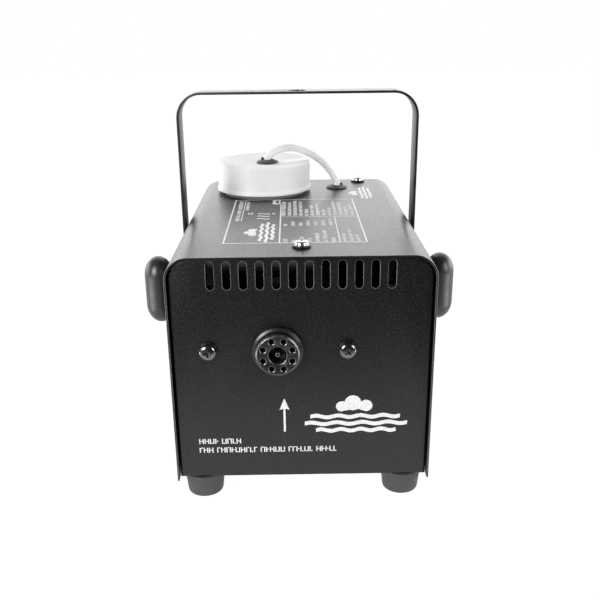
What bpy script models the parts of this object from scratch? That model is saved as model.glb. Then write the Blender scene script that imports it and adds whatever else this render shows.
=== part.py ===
"""Small fog machine with a tilting yoke, built as an assembly of separate parts.

Units are metres and +Z is up.  The fog outlet faces -Y.  The origin is on the floor, under the
middle of the body.  Each part is one object; the cutters are kept in a collection of their own.
"""
from math import cos, pi, radians, sin

import bmesh
import bpy
from mathutils import Matrix, Vector

MM = 0.001
GAP = 0.3 * MM                     # clearance between pieces that touch

# Body
BODY_HALF_WIDTH = 67.5 * MM        # cover, outside
BODY_HALF_DEPTH = 98 * MM
COVER_FOOT_Z = 12 * MM             # lower edge of the cover's sides
COVER_TOP_Z = 137 * MM
COVER_RADIUS = 12 * MM             # outside radius of the two long top edges
SHEET = 1 * MM
CHASSIS_HALF_WIDTH = 66 * MM
CHASSIS_HALF_DEPTH = 95.5 * MM     # front and rear panels sit back from the cover's edges
CHASSIS_BOTTOM_Z = 13 * MM
CHASSIS_TOP_Z = COVER_TOP_Z - SHEET - GAP
CHASSIS_FLOOR_Z = CHASSIS_BOTTOM_Z + SHEET
FRONT_FLANGE_Y = -72 * MM          # inner edge of the front panel's folded flanges
REAR_FLANGE_Y = 83.5 * MM
SIDE_FLANGE_TOP_Z = 26 * MM        # the floor's upturned sides

# Front panel
SLOT_COUNT = 12
SLOT_PITCH = 8.19 * MM
SLOT_WIDTH = 4 * MM
SLOT_LOW_Z = 119.5 * MM
SLOT_HIGH_Z = 134.3 * MM
OUTLET_X = -12.2 * MM              # axis of the nozzle and the heater
OUTLET_Z = 87 * MM
HEATER_SCREW_OFFSET = 35.6 * MM    # either side of the outlet's axis

# Feet
FOOT_X = 54 * MM
FOOT_Y = 85.5 * MM
FOOT_TOP_RADIUS = 11 * MM
FOOT_BOTTOM_RADIUS = 9.5 * MM
FOOT_HEIGHT = CHASSIS_BOTTOM_Z - GAP

# Fluid tank and its cap
NECK_X = -22.5 * MM
NECK_Y = 62 * MM
TANK_LOW = Vector((-61, 24, 18.2)) * MM
TANK_HIGH = Vector((12, 92, 127)) * MM
TANK_WALL = 2 * MM
NECK_RADIUS = 26.5 * MM
NECK_TOP_Z = 154 * MM
CAP_RADIUS = 31 * MM
CAP_LIP_RADIUS = 32 * MM
CAP_BOTTOM_Z = COVER_TOP_Z + 1.8 * MM
CAP_TOP_Z = 158 * MM

# Hose and its two grommets
HOSE_RADIUS = 2.5 * MM
CAP_GROMMET = Vector((-19.8, 49.5, 158)) * MM
COVER_GROMMET = Vector((26.8, 68, 137)) * MM
GROMMET_RADIUS = 7.1 * MM
GROMMET_BORE = 2.75 * MM
GROMMET_HEIGHT = 2.2 * MM          # above the plate that it sits in

# Pump, vertical, at the rear right
PUMP_X = 40 * MM
PUMP_Y = 40 * MM
PUMP_OUTLET_Z = 36 * MM
PUMP_INLET_Z = 108 * MM

# Yoke and its two knobs
PIVOT_Y = 5 * MM
PIVOT_Z = 86.5 * MM
YOKE_HALF_WIDTH = 70 * MM          # outside of the legs
YOKE_TOP_Z = 207 * MM
YOKE_THICKNESS = 2 * MM
YOKE_STRIP = 16 * MM               # width of the strip
YOKE_BEND = 13 * MM                # outside radius
KNOB_BAR = Vector((18, 18, 43)) * MM
KNOB_OUTER_X = 97 * MM
KNOB_HUB_RADIUS = 10 * MM
STUD_RADIUS = 3 * MM

# Rear panel fittings
INLET_X, INLET_Z = 30 * MM, 50 * MM
SWITCH_X, SWITCH_Z = 53 * MM, 64 * MM
FUSE_X, FUSE_Z = 53 * MM, 34 * MM
REMOTE_X, REMOTE_Z = 42 * MM, 98 * MM
ROCKER_REST = radians(9)

# Spans of the cutters that go through one wall
FRONT_CUT = (-100 * MM, -90 * MM)  # along Y, through the front panel
REAR_CUT = (90 * MM, 110 * MM)     # along Y, through the rear panel
TOP_CUT = (130 * MM, 145 * MM)     # along Z, through the chassis's top flanges and the cover
FLOOR_CUT = (10 * MM, 16 * MM)     # along Z, through the chassis floor
SIDE_CUT = (60 * MM, 75 * MM)      # along X, through the cover's side and the yoke's leg
BEYOND = 200 * MM                  # farther out than any part

# finish name: (colour, roughness, metallic)
FINISHES = {
    "powder_black": ((0.030, 0.030, 0.032), 0.50, 0.0),
    "knob_black": ((0.022, 0.022, 0.023), 0.38, 0.0),
    "rubber": ((0.060, 0.060, 0.060), 0.80, 0.0),
    "tank_white": ((0.86, 0.86, 0.84), 0.40, 0.0),
    "hose_clear": ((0.80, 0.80, 0.79), 0.25, 0.0),
    "nickel": ((0.62, 0.61, 0.59), 0.28, 1.0),
    "black_steel": ((0.05, 0.05, 0.052), 0.35, 0.6),
    "aluminium": ((0.66, 0.66, 0.67), 0.42, 1.0),
    "sheet_steel": ((0.52, 0.52, 0.53), 0.40, 1.0),
    "brass": ((0.70, 0.53, 0.28), 0.32, 1.0),
    "insulation": ((0.78, 0.74, 0.64), 0.90, 0.0),
    "board_green": ((0.03, 0.20, 0.09), 0.45, 0.0),
    "plastic_black": ((0.020, 0.020, 0.021), 0.45, 0.0),
    "coil_copper": ((0.60, 0.26, 0.14), 0.45, 0.4),
}

TOWARDS = {
    "+Z": (0, 0, 0), "-Z": (pi, 0, 0), "+X": (0, pi / 2, 0), "-X": (0, -pi / 2, 0),
    "+Y": (-pi / 2, 0, 0), "-Y": (pi / 2, 0, 0),
}


# ---------------------------------------------------------------- helpers

def clear_scene():
    for obj in list(bpy.data.objects):
        bpy.data.objects.remove(obj, do_unlink=True)


def make_collection(name):
    collection = bpy.data.collections.new(name)
    bpy.context.scene.collection.children.link(collection)
    return collection


def paint(obj, finish):
    """Give the object a material of its own."""
    colour, roughness, metallic = FINISHES[finish]
    skin = bpy.data.materials.new(obj.name)
    skin.use_nodes = True
    shader = skin.node_tree.nodes["Principled BSDF"]
    shader.inputs["Base Color"].default_value = (*colour, 1)
    shader.inputs["Roughness"].default_value = roughness
    shader.inputs["Metallic"].default_value = metallic
    skin.diffuse_color = (*colour, 1)
    obj.data.materials.append(skin)


def add_part(name, data, finish, location=(0, 0, 0), rotation=(0, 0, 0)):
    obj = bpy.data.objects.new(name, data)
    parts.objects.link(obj)
    obj.location = location
    obj.rotation_euler = rotation
    paint(obj, finish)
    return obj


def mesh_of(name, *shapes):
    """A mesh holding the given shapes; each shape is a function that draws into a bmesh."""
    bm = bmesh.new()
    for draw in shapes:
        draw(bm)
    mesh = bpy.data.meshes.new(name)
    bm.to_mesh(mesh)
    bm.free()
    mesh.shade_smooth()
    mesh.set_sharp_from_angle(angle=radians(32))
    return mesh


def box(low, high, radius=0, along=None, top_only=False, segments=4):
    """A box; the edges that run along the given axis (or all edges) can be rounded."""
    low, high = Vector(low), Vector(high)
    centre, size = (low + high) / 2, high - low

    def draw(bm):
        place = Matrix.Translation(centre) @ Matrix.Diagonal((*size, 1))
        corners = bmesh.ops.create_cube(bm, size=1, matrix=place)["verts"]
        edges = {edge for vert in corners for edge in vert.link_edges}
        if along is not None:
            others = [axis for axis in range(3) if axis != along]
            edges = {edge for edge in edges
                     if all(abs(edge.verts[0].co[a] - edge.verts[1].co[a]) < 1e-7 for a in others)}
        if top_only:
            edges = {edge for edge in edges if min(v.co.z for v in edge.verts) > centre.z}
        if radius:
            bmesh.ops.bevel(bm, geom=list(edges), offset=radius, segments=segments, profile=0.5,
                            affect="EDGES")
    return draw


def rod(start, end, radius, segments=24, end_radius=None):
    """A cylinder or cone between two points."""
    start, end = Vector(start), Vector(end)
    turn = Vector((0, 0, 1)).rotation_difference(end - start).to_matrix().to_4x4()
    place = Matrix.Translation((start + end) / 2) @ turn

    def draw(bm):
        bmesh.ops.create_cone(bm, cap_ends=True, segments=segments, radius1=radius,
                              radius2=radius if end_radius is None else end_radius,
                              depth=(end - start).length, matrix=place)
    return draw


def bore_y(span, x, z, radius, segments=8):
    """A round cutter along Y."""
    return rod((x, span[0], z), (x, span[1], z), radius, segments)


def bore_z(span, x, y, radius, segments=8):
    """A round cutter along Z."""
    return rod((x, y, span[0]), (x, y, span[1]), radius, segments)


def window_y(span, x, z, half_width, half_height, radius=0):
    """A rectangular cutter along Y."""
    return box((x - half_width, span[0], z - half_height), (x + half_width, span[1], z + half_height),
               radius, along=1, segments=2)


def solid(name, finish, *shapes, location=(0, 0, 0), rotation=(0, 0, 0)):
    return add_part(name, mesh_of(name, *shapes), finish, location, rotation)


def tool(target, name, operation, mesh, location, rotation):
    """A hidden shape that is cut from the target or joined to it."""
    cutter = bpy.data.objects.new(name, mesh)
    cutters.objects.link(cutter)
    cutter.location = location
    cutter.rotation_euler = rotation
    cutter.hide_render = True
    cutter.display_type = "WIRE"
    boolean = target.modifiers.new(name, "BOOLEAN")
    boolean.operation = operation
    boolean.solver = "EXACT"
    boolean.object = cutter


def cut(target, label, *shapes, location=(0, 0, 0), rotation=(0, 0, 0)):
    name = f"{target.name}_{label}"
    tool(target, name, "DIFFERENCE", mesh_of(name, *shapes), location, rotation)


def join(target, label, *shapes, location=(0, 0, 0), rotation=(0, 0, 0)):
    name = f"{target.name}_{label}"
    tool(target, name, "UNION", mesh_of(name, *shapes), location, rotation)


def turned(name, finish, profile, location=(0, 0, 0), towards="+Z", steps=32, ring=False):
    """Turn a profile of (radius, height) points, given top to bottom down the outer side."""
    mesh = bpy.data.meshes.new(name)
    count = len(profile)
    edges = [(i, i + 1) for i in range(count - 1)]
    if ring:
        edges.append((count - 1, 0))
    mesh.from_pydata([(r, 0, z) for r, z in profile], edges, [])
    obj = add_part(name, mesh, finish, location, TOWARDS[towards])
    screw = obj.modifiers.new("turn", "SCREW")
    screw.axis = "Z"
    screw.angle = 2 * pi
    screw.steps = steps
    screw.render_steps = steps
    screw.use_merge_vertices = True
    screw.merge_threshold = 0.00001
    return obj


def arc(centre, radius, start, end, steps):
    """Points on an arc, as (a, b) pairs; the angles are in degrees."""
    angles = [radians(start + (end - start) * i / steps) for i in range(steps + 1)]
    return [(centre[0] + radius * cos(t), centre[1] + radius * sin(t)) for t in angles]


def hoop(half_width, foot_z, top_z, radius, steps):
    """An upside-down U in the XZ plane, from the left foot over the top to the right foot."""
    left = arc((-half_width + radius, top_z - radius), radius, 180, 90, steps)
    right = arc((half_width - radius, top_z - radius), radius, 90, 0, steps)
    return [(-half_width, foot_z), *left, *right, (half_width, foot_z)]


def strip_mesh(name, stations):
    """A surface through stations of (x, z, low y, high y), one quad wide."""
    bm = bmesh.new()
    rows = [(bm.verts.new((x, low, z)), bm.verts.new((x, high, z))) for x, z, low, high in stations]
    for (low, high), (next_low, next_high) in zip(rows, rows[1:]):
        bm.faces.new((low, next_low, next_high, high))
    mesh = bpy.data.meshes.new(name)
    bm.to_mesh(mesh)
    bm.free()
    mesh.shade_smooth()
    mesh.set_sharp_from_angle(angle=radians(32))
    return mesh


def thicken(obj, thickness):
    skin = obj.modifiers.new("sheet", "SOLIDIFY")
    skin.thickness = thickness
    skin.offset = -1
    skin.use_even_offset = True


def smooth_route(points, spacing):
    """Evenly dense points along a Catmull-Rom curve through the given points."""
    points = [Vector(p) for p in points]
    ends = [2 * points[0] - points[1], *points, 2 * points[-1] - points[-2]]
    route = [points[0]]
    for before, start, end, after in zip(ends, ends[1:], ends[2:], ends[3:]):
        pieces = max(1, round((end - start).length / spacing))
        for i in range(1, pieces + 1):
            t = i / pieces
            route.append(0.5 * (2 * start + (end - before) * t
                                + (2 * before - 5 * start + 4 * end - after) * t ** 2
                                + (3 * start - before - 3 * end + after) * t ** 3))
    return route


def tube(name, finish, points, radius):
    """A round tube along a list of points, with closed ends."""
    curve = bpy.data.curves.new(name, "CURVE")
    curve.dimensions = "3D"
    curve.bevel_depth = radius
    curve.bevel_resolution = 2
    curve.use_fill_caps = True
    spline = curve.splines.new("POLY")
    spline.points.add(len(points) - 1)
    for slot, point in zip(spline.points, points):
        slot.co = (*point, 1)
    return add_part(name, curve, finish)


# ---------------------------------------------------------------- casing

def make_chassis():
    """Front panel, floor and rear panel folded from one sheet, with flanges all round."""
    wide, deep, low, top = CHASSIS_HALF_WIDTH, CHASSIS_HALF_DEPTH, CHASSIS_BOTTOM_Z, CHASSIS_TOP_Z
    corner = COVER_RADIUS - 1.5 * MM
    chassis = solid("chassis", "powder_black",
                    box((-wide, -deep, low), (wide, deep, top), corner, along=1, top_only=True))
    cut(chassis, "inside", box((-wide + SHEET, -deep + SHEET, low + SHEET),
                               (wide - SHEET, deep - SHEET, top - SHEET), corner - SHEET, along=1,
                               top_only=True))
    cut(chassis, "side_window", box((-BEYOND, FRONT_FLANGE_Y, SIDE_FLANGE_TOP_Z),
                                    (BEYOND, REAR_FLANGE_Y, BEYOND)))
    cut(chassis, "neck_notch", bore_z(TOP_CUT, NECK_X, NECK_Y, 29 * MM, 28))
    slot_places = [(index - (SLOT_COUNT - 1) / 2) * SLOT_PITCH for index in range(SLOT_COUNT)]
    slot_middle, slot_half = (SLOT_LOW_Z + SLOT_HIGH_Z) / 2, (SLOT_HIGH_Z - SLOT_LOW_Z) / 2
    cut(chassis, "slots",
        *[window_y(FRONT_CUT, x, slot_middle, SLOT_WIDTH / 2, slot_half, SLOT_WIDTH / 2 - 0.02 * MM)
          for x in slot_places])
    cut(chassis, "front_holes", bore_y(FRONT_CUT, OUTLET_X, OUTLET_Z, 11.4 * MM, 24),
        *[bore_y(FRONT_CUT, x, OUTLET_Z, 2.2 * MM) for x in heater_screw_places()])
    cut(chassis, "rear_holes",
        window_y(REAR_CUT, INLET_X, INLET_Z, 10 * MM, 14 * MM),
        window_y(REAR_CUT, SWITCH_X, SWITCH_Z, 6.9 * MM, 9.9 * MM),
        bore_y(REAR_CUT, FUSE_X, FUSE_Z, 7.2 * MM, 16),
        bore_y(REAR_CUT, REMOTE_X, REMOTE_Z, 8.5 * MM, 16))
    cut(chassis, "foot_holes", *[bore_z(FLOOR_CUT, x, y, 2.2 * MM) for _, x, y in foot_places()])
    cut(chassis, "cover_screw_holes",
        *[bore_z(TOP_CUT, x, y, 2.3 * MM) for _, x, y in cover_screw_places()])


def make_cover():
    """U-shaped sheet over the top and both sides."""
    path = hoop(BODY_HALF_WIDTH, COVER_FOOT_Z, COVER_TOP_Z, COVER_RADIUS, 8)
    stations = [(x, z, -BODY_HALF_DEPTH, BODY_HALF_DEPTH) for x, z in path]
    cover = add_part("cover", strip_mesh("cover", stations), "powder_black")
    thicken(cover, SHEET)
    cut(cover, "neck_hole", bore_z(TOP_CUT, NECK_X, NECK_Y, 28.8 * MM, 28))
    cut(cover, "top_holes", bore_z(TOP_CUT, COVER_GROMMET.x, COVER_GROMMET.y, 4.7 * MM, 14),
        *[bore_z(TOP_CUT, x, y, 2.3 * MM) for _, x, y in cover_screw_places()])
    near, far = SIDE_CUT
    cut(cover, "pivot_holes",
        *[rod((side * near, PIVOT_Y, PIVOT_Z), (side * far, PIVOT_Y, PIVOT_Z), 3.6 * MM, 14)
          for side in (-1, 1)])


def foot_places():
    return [("front_left", -FOOT_X, -FOOT_Y), ("front_right", FOOT_X, -FOOT_Y),
            ("rear_left", -FOOT_X, FOOT_Y), ("rear_right", FOOT_X, FOOT_Y)]


def cover_screw_places():
    return [("front", 0.6 * MM, -80 * MM), ("rear_left", -47.5 * MM, 90 * MM),
            ("rear_right", 43 * MM, 89.5 * MM)]


def heater_screw_places():
    return [OUTLET_X - HEATER_SCREW_OFFSET, OUTLET_X + HEATER_SCREW_OFFSET]


def make_feet():
    recess_radius, recess_top, bore = 5.5 * MM, 7 * MM, 2.3 * MM
    profile = [(bore, FOOT_HEIGHT), (FOOT_TOP_RADIUS, FOOT_HEIGHT),
               (FOOT_BOTTOM_RADIUS + 0.4 * MM, 1 * MM), (FOOT_BOTTOM_RADIUS - 0.6 * MM, 0),
               (recess_radius, 0), (recess_radius, recess_top), (bore, recess_top)]
    for place, x, y in foot_places():
        turned(f"foot_{place}", "rubber", profile, (x, y, 0), steps=20, ring=True)
        screw_top = 17.4 * MM
        head_top = recess_top - GAP
        screw = [(0, screw_top), (1.9 * MM, screw_top), (1.9 * MM, head_top), (4 * MM, head_top),
                 (3.6 * MM, head_top - 2 * MM), (0, head_top - 2.6 * MM)]
        turned(f"foot_screw_{place}", "nickel", screw, (x, y, 0), steps=10)


def pan_head_screw(name, location, towards, shank, washer=False):
    """A cross-recessed pan-head screw whose bearing face is at the location."""
    head_radius, head_height = 3.65 * MM, 2.5 * MM
    base = 0.9 * MM if washer else 0
    profile = [(0, base + head_height), (1.8 * MM, base + head_height - 0.15 * MM),
               (3.1 * MM, base + head_height - 0.8 * MM), (head_radius, base + 0.9 * MM)]
    if washer:
        profile += [(head_radius, base), (4.9 * MM, base), (4.9 * MM, 0)]
    else:
        profile.append((head_radius, 0))
    profile += [(1.9 * MM, 0), (1.9 * MM, -shank), (0, -shank - 0.8 * MM)]
    screw = turned(name, "nickel", profile, location, towards, steps=14)
    half, arm, floor, above = 0.45 * MM, 2.1 * MM, base + head_height - 1.5 * MM, 10 * MM
    for label, reach_x, reach_y in (("slot_a", arm, half), ("slot_b", half, arm)):
        cut(screw, label, box((-reach_x, -reach_y, floor), (reach_x, reach_y, above)),
            location=location, rotation=TOWARDS[towards])


def make_body_screws():
    washer_y = -CHASSIS_HALF_DEPTH - GAP
    washer = [(2.1 * MM, 0.8 * MM), (5 * MM, 0.8 * MM), (5 * MM, 0), (2.1 * MM, 0)]
    for side, x in zip(("left", "right"), heater_screw_places()):
        turned(f"heater_washer_{side}", "nickel", washer, (x, washer_y, OUTLET_Z), "-Y", 18, ring=True)
        pan_head_screw(f"heater_screw_{side}", (x, washer_y - 0.8 * MM - GAP, OUTLET_Z), "-Y", 6 * MM)
    for place, x, y in cover_screw_places():
        pan_head_screw(f"cover_screw_{place}", (x, y, COVER_TOP_Z + GAP), "+Z", 7 * MM, washer=True)


# ---------------------------------------------------------------- fog outlet and heater

def make_nozzle():
    """Eight-hole outlet; heights are measured outwards from the front panel's face."""
    front, shoulder, flat = 7.5 * MM, 1.3 * MM, 9.9 * MM
    rim = arc((flat, front - shoulder), shoulder, 60, 0, 2)
    profile = [(4.6 * MM, front), (flat, front), *rim, (11.5 * MM, 3 * MM), (13 * MM, 2.3 * MM),
               (13 * MM, GAP), (11 * MM, GAP), (11 * MM, -8 * MM), (7 * MM, -8 * MM), (7 * MM, 0),
               (1.8 * MM, 0), (1.8 * MM, 5 * MM), (4.6 * MM, 5 * MM)]
    place = (OUTLET_X, -CHASSIS_HALF_DEPTH, OUTLET_Z)
    cap = turned("nozzle_cap", "black_steel", profile, place, "-Y", 28, ring=True)
    holes = []
    for index in range(8):
        angle = radians(22.5 + 45 * index)
        x, y = 7.9 * MM * cos(angle), 7.9 * MM * sin(angle)
        holes.append(rod((x, y, 3.5 * MM), (x, y, 9 * MM), 1.5 * MM, 8))
    cut(cap, "holes", *holes, location=place, rotation=TOWARDS["-Y"])
    jet = [(0.5 * MM, 6.2 * MM), (1.2 * MM, 6.2 * MM), (1.5 * MM, 5.6 * MM), (1.5 * MM, -1 * MM),
           (5 * MM, -1 * MM), (5 * MM, -6 * MM), (0.5 * MM, -6 * MM)]
    turned("nozzle_tip", "brass", jet, place, "-Y", 12, ring=True)


def make_heater():
    """Cast block with two cartridge heaters, in an insulating sleeve on a sheet bracket."""
    x, z = OUTLET_X, OUTLET_Z
    through = (-BEYOND, 0)
    block_low, block_high = Vector((-43.7, -84, 73.7)) * MM, Vector((19.3, -18, 98.3)) * MM
    block = solid("heater_body", "aluminium", box(block_low, block_high, 3 * MM, segments=1))
    join(block, "spigot", bore_y((-89.1 * MM, block_low.y + 5 * MM), x, z, 6 * MM, 16))
    cut(block, "fluid_bore", bore_y(through, x, z, 1.5 * MM))
    for side, offset in (("left", -18 * MM), ("right", 18 * MM)):
        cut(block, f"bore_{side}", bore_y((-76 * MM, 0), x + offset, z, 4.4 * MM, 12))
        solid(f"cartridge_heater_{side}", "sheet_steel",
              bore_y((-75.5 * MM, -11 * MM), x + offset, z, 4 * MM, 12))

    sleeve = solid("insulation", "insulation",
                   box((x - 38 * MM, -80 * MM, 67.4 * MM), (x + 38 * MM, -17 * MM, 104.6 * MM), 3 * MM,
                       along=1, segments=1))
    cut(sleeve, "inside", box((x - 31.9 * MM, -BEYOND, 73.3 * MM), (x + 31.9 * MM, 0, 98.7 * MM)))
    cut(sleeve, "thermostat_hole", bore_z((90 * MM, 110 * MM), x, -45 * MM, 9 * MM, 16))
    dome = [(0, 9 * MM), (6 * MM, 9 * MM), (6 * MM, 4 * MM), (8 * MM, 4 * MM), (8 * MM, 0), (0, 0)]
    turned("thermostat", "sheet_steel", dome, (x, -45 * MM, block_high.z + GAP), steps=14)

    front, rear, floor = -94.1 * MM, -12 * MM, 66.2 * MM
    tray = solid("heater_bracket", "sheet_steel",
                 box((x - 42 * MM, front, floor), (x + 42 * MM, front + SHEET, 108 * MM)))
    join(tray, "floor", box((x - 42 * MM, front + SHEET / 2, floor), (x + 42 * MM, rear, floor + SHEET)))
    join(tray, "lip", box((x - 42 * MM, rear - SHEET, floor + SHEET / 2), (x + 42 * MM, rear, 76 * MM)))
    cut(tray, "holes", bore_y(FRONT_CUT, x, z, 11.6 * MM, 20),
        *[bore_y(FRONT_CUT, place, z, 2.2 * MM) for place in heater_screw_places()])


# ---------------------------------------------------------------- tank, cap and hoses

def make_tank():
    """Blow-moulded fluid tank; two rings on its neck stand for the coarse thread."""
    tank = solid("tank", "tank_white", box(TANK_LOW, TANK_HIGH, 6 * MM, segments=2))
    join(tank, "neck", bore_z((TANK_HIGH.z - 1 * MM, NECK_TOP_Z), NECK_X, NECK_Y, NECK_RADIUS, 28))
    for index, z in enumerate((143 * MM, 148 * MM)):
        join(tank, f"thread_{index}",
             bore_z((z, z + 1.6 * MM), NECK_X, NECK_Y, NECK_RADIUS + 1.3 * MM, 28))
    inset = Vector((TANK_WALL, TANK_WALL, TANK_WALL))
    cut(tank, "inside", box(TANK_LOW + inset, TANK_HIGH - inset, 4 * MM, segments=1))
    cut(tank, "mouth",
        bore_z((TANK_HIGH.z - 7 * MM, BEYOND), NECK_X, NECK_Y, NECK_RADIUS - TANK_WALL, 28))
    pad_low = Vector((TANK_LOW.x + 15 * MM, TANK_LOW.y + 6 * MM, CHASSIS_FLOOR_Z + GAP))
    pad_high = Vector((TANK_HIGH.x - 8 * MM, TANK_HIGH.y - 12 * MM, TANK_LOW.z - GAP))
    solid("tank_pad", "rubber", box(pad_low, pad_high))


def make_cap():
    """Screw cap, its seal, the hose grommet in it and the pick-up tube below."""
    top, low, place = CAP_TOP_Z, CAP_BOTTOM_Z, (NECK_X, NECK_Y, 0)
    inside, roof = 29 * MM, top - 2 * MM
    outline = [(0, top), *arc((CAP_RADIUS - 1.6 * MM, top - 1.6 * MM), 1.6 * MM, 90, 0, 2),
               (CAP_RADIUS, low + 3 * MM), (CAP_LIP_RADIUS, low + 2.4 * MM), (CAP_LIP_RADIUS, low),
               (inside, low), (inside, roof), (0, roof)]
    cap = turned("tank_cap", "tank_white", outline, place, steps=36)
    cut(cap, "hose_hole",
        bore_z((roof - 5 * MM, top + 5 * MM), CAP_GROMMET.x, CAP_GROMMET.y, 4.7 * MM, 14))
    seal = [(NECK_RADIUS - 1.6 * MM, roof - GAP), (28.6 * MM, roof - GAP), (28.6 * MM, NECK_TOP_Z + GAP),
            (NECK_RADIUS - 1.6 * MM, NECK_TOP_Z + GAP)]
    turned("cap_seal", "rubber", seal, place, steps=24, ring=True)
    make_grommet("cap_grommet", CAP_GROMMET, 2 * MM)

    filter_low, filter_high = 21 * MM, 34 * MM
    x, y = CAP_GROMMET.x, CAP_GROMMET.y
    tube = (filter_high + GAP, top + 1.9 * MM)
    solid("pickup_tube", "hose_clear", bore_z(tube, x, y, HOSE_RADIUS, 10))
    strainer = [(1.2 * MM, filter_high), (3 * MM, filter_high), (6 * MM, filter_high - 3 * MM),
                (6 * MM, filter_low), (1.2 * MM, filter_low)]
    turned("intake_filter", "plastic_black", strainer, (x, y, 0), steps=12, ring=True)


def make_grommet(name, face, plate):
    """Rubber grommet with a conical collar; the face point is on the plate's outer surface."""
    inner, top = -plate - GAP, GROMMET_HEIGHT
    profile = [(GROMMET_BORE, top), (3.9 * MM, top), (4.6 * MM, top - 0.4 * MM),
               (GROMMET_RADIUS, 0.8 * MM), (GROMMET_RADIUS, GAP), (4.25 * MM, GAP), (4.25 * MM, inner),
               (6.4 * MM, inner), (5.6 * MM, inner - 2 * MM), (GROMMET_BORE, inner - 2 * MM)]
    turned(name, "rubber", profile, face, steps=16, ring=True)


def make_hoses():
    """The hose from cap to cover, and the two tubes inside that carry the fluid on."""
    visible = [(-19.8, 49.5, 160.5), (-19.7, 49.5, 161.4), (-18.7, 49.9, 163.1), (-15.5, 51.2, 165.1),
               (-10.1, 53.4, 166.6), (-3.3, 56.0, 166.5), (3.4, 58.7, 164.1), (10.1, 61.3, 159.7),
               (15.8, 63.6, 154.4), (20.9, 65.7, 148.4), (25.1, 67.3, 143.1), (26.6, 67.9, 141.1),
               (26.8, 68.0, 139.5)]
    tube("hose", "hose_clear", smooth_route([Vector(p) * MM for p in visible], 3.5 * MM), HOSE_RADIUS)
    feed = [(26.8, 68, 138.9), (26.8, 68, 132), (28.2, 65, 125), (33, 54, 120), (38.6, 43.2, 116.6),
            (40, 40, 111.5), (40, 40, 108.3)]
    tube("pump_inlet_hose", "hose_clear", smooth_route([Vector(p) * MM for p in feed], 5 * MM),
         HOSE_RADIUS)
    delivery = [(40, 40, 35.6), (40, 40, 33), (39, 36, 27.5), (34, 26, 25.5), (27, 12, 30), (18, 3, 46),
                (4, 1, 68), (-7, 0, 82), (-11.8, -6, 86.8), (-12.2, -13, 87), (-12.2, -17.6, 87)]
    tube("pump_outlet_tube", "hose_clear", smooth_route([Vector(p) * MM for p in delivery], 6 * MM),
         2 * MM)


# ---------------------------------------------------------------- pump

def make_pump():
    """Vibrating-piston pump: a coil around a plastic tube, with a sprung piston inside."""
    place = (PUMP_X, PUMP_Y, 0)
    low, high = PUMP_OUTLET_Z, PUMP_INLET_Z
    barb, body, collar, bore = 3 * MM, 8 * MM, 9.5 * MM, 1.5 * MM
    chamber = 5 * MM
    outline = [(bore, high), (barb, high), (barb, high - 10 * MM), (collar, high - 11 * MM),
               (collar, high - 18 * MM), (body, high - 18 * MM), (body, low + 14 * MM),
               (collar, low + 14 * MM), (collar, low + 9 * MM), (barb, low + 8 * MM), (barb, low),
               (bore, low), (bore, low + 16 * MM), (chamber, low + 16 * MM),
               (chamber, high - 20 * MM), (bore, high - 20 * MM)]
    turned("pump_body", "plastic_black", outline, place, steps=14, ring=True)
    piston = [(bore, 84 * MM), (4.7 * MM, 84 * MM), (4.7 * MM, 56 * MM), (bore, 56 * MM)]
    turned("pump_piston", "sheet_steel", piston, place, steps=12, ring=True)

    half, coil_low, coil_high = 17 * MM, low + 14.4 * MM, high - 18.4 * MM
    coil = solid("pump_coil", "coil_copper",
                 box((PUMP_X - half, PUMP_Y - half, coil_low), (PUMP_X + half, PUMP_Y + half, coil_high),
                     3 * MM, along=2, segments=2))
    cut(coil, "bore", bore_z((low, high), PUMP_X, PUMP_Y, body + 0.5 * MM, 16))

    wall, floor = PUMP_X + half + GAP, CHASSIS_FLOOR_Z + GAP
    near, far = PUMP_Y - 14 * MM, PUMP_Y + 14 * MM
    bracket = solid("pump_bracket", "sheet_steel",
                    box((22 * MM, near, floor), (wall + SHEET, far, floor + SHEET)))
    join(bracket, "wall", box((wall, near, floor + SHEET / 2), (wall + SHEET, far, 85 * MM)))


# ---------------------------------------------------------------- electronics and rear fittings

def make_electronics():
    """Control board on a plastic tray, with its relay and terminal block."""
    low, high = Vector((-46, -76, 24)) * MM, Vector((12, -14, 25.6)) * MM
    floor, margin, inset = CHASSIS_FLOOR_Z + GAP, 2 * MM, 4 * MM
    posts = [(x, y) for x in (low.x + inset, high.x - inset) for y in (low.y + inset, high.y - inset)]
    tray = solid("board_tray", "plastic_black",
                 box((low.x - margin, low.y - margin, floor),
                     (high.x + margin, high.y + margin, floor + 2 * MM)))
    join(tray, "posts", *[bore_z((floor + MM, low.z - GAP), x, y, 3 * MM) for x, y in posts])
    board = solid("control_board", "board_green", box(low, high))
    cut(board, "holes", *[bore_z((low.z - MM, high.z + MM), x, y, 1.6 * MM) for x, y in posts])

    relay_low, relay_size = Vector((-38, -66, 25.9)) * MM, Vector((19, 15.5, 15)) * MM
    solid("relay", "plastic_black", box(relay_low, relay_low + relay_size, 0.8 * MM, segments=1))
    block_low, block_size = Vector((-26, -28, 25.9)) * MM, Vector((30, 10, 12)) * MM
    strip = solid("terminal_block", "board_green", box(block_low, block_low + block_size))
    wells = (block_low.z + 7 * MM, block_low.z + 15 * MM)
    cut(strip, "screw_wells",
        *[bore_z(wells, block_low.x + (3.75 + 7.5 * i) * MM, block_low.y + 5 * MM, 2.4 * MM)
          for i in range(4)])


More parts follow.
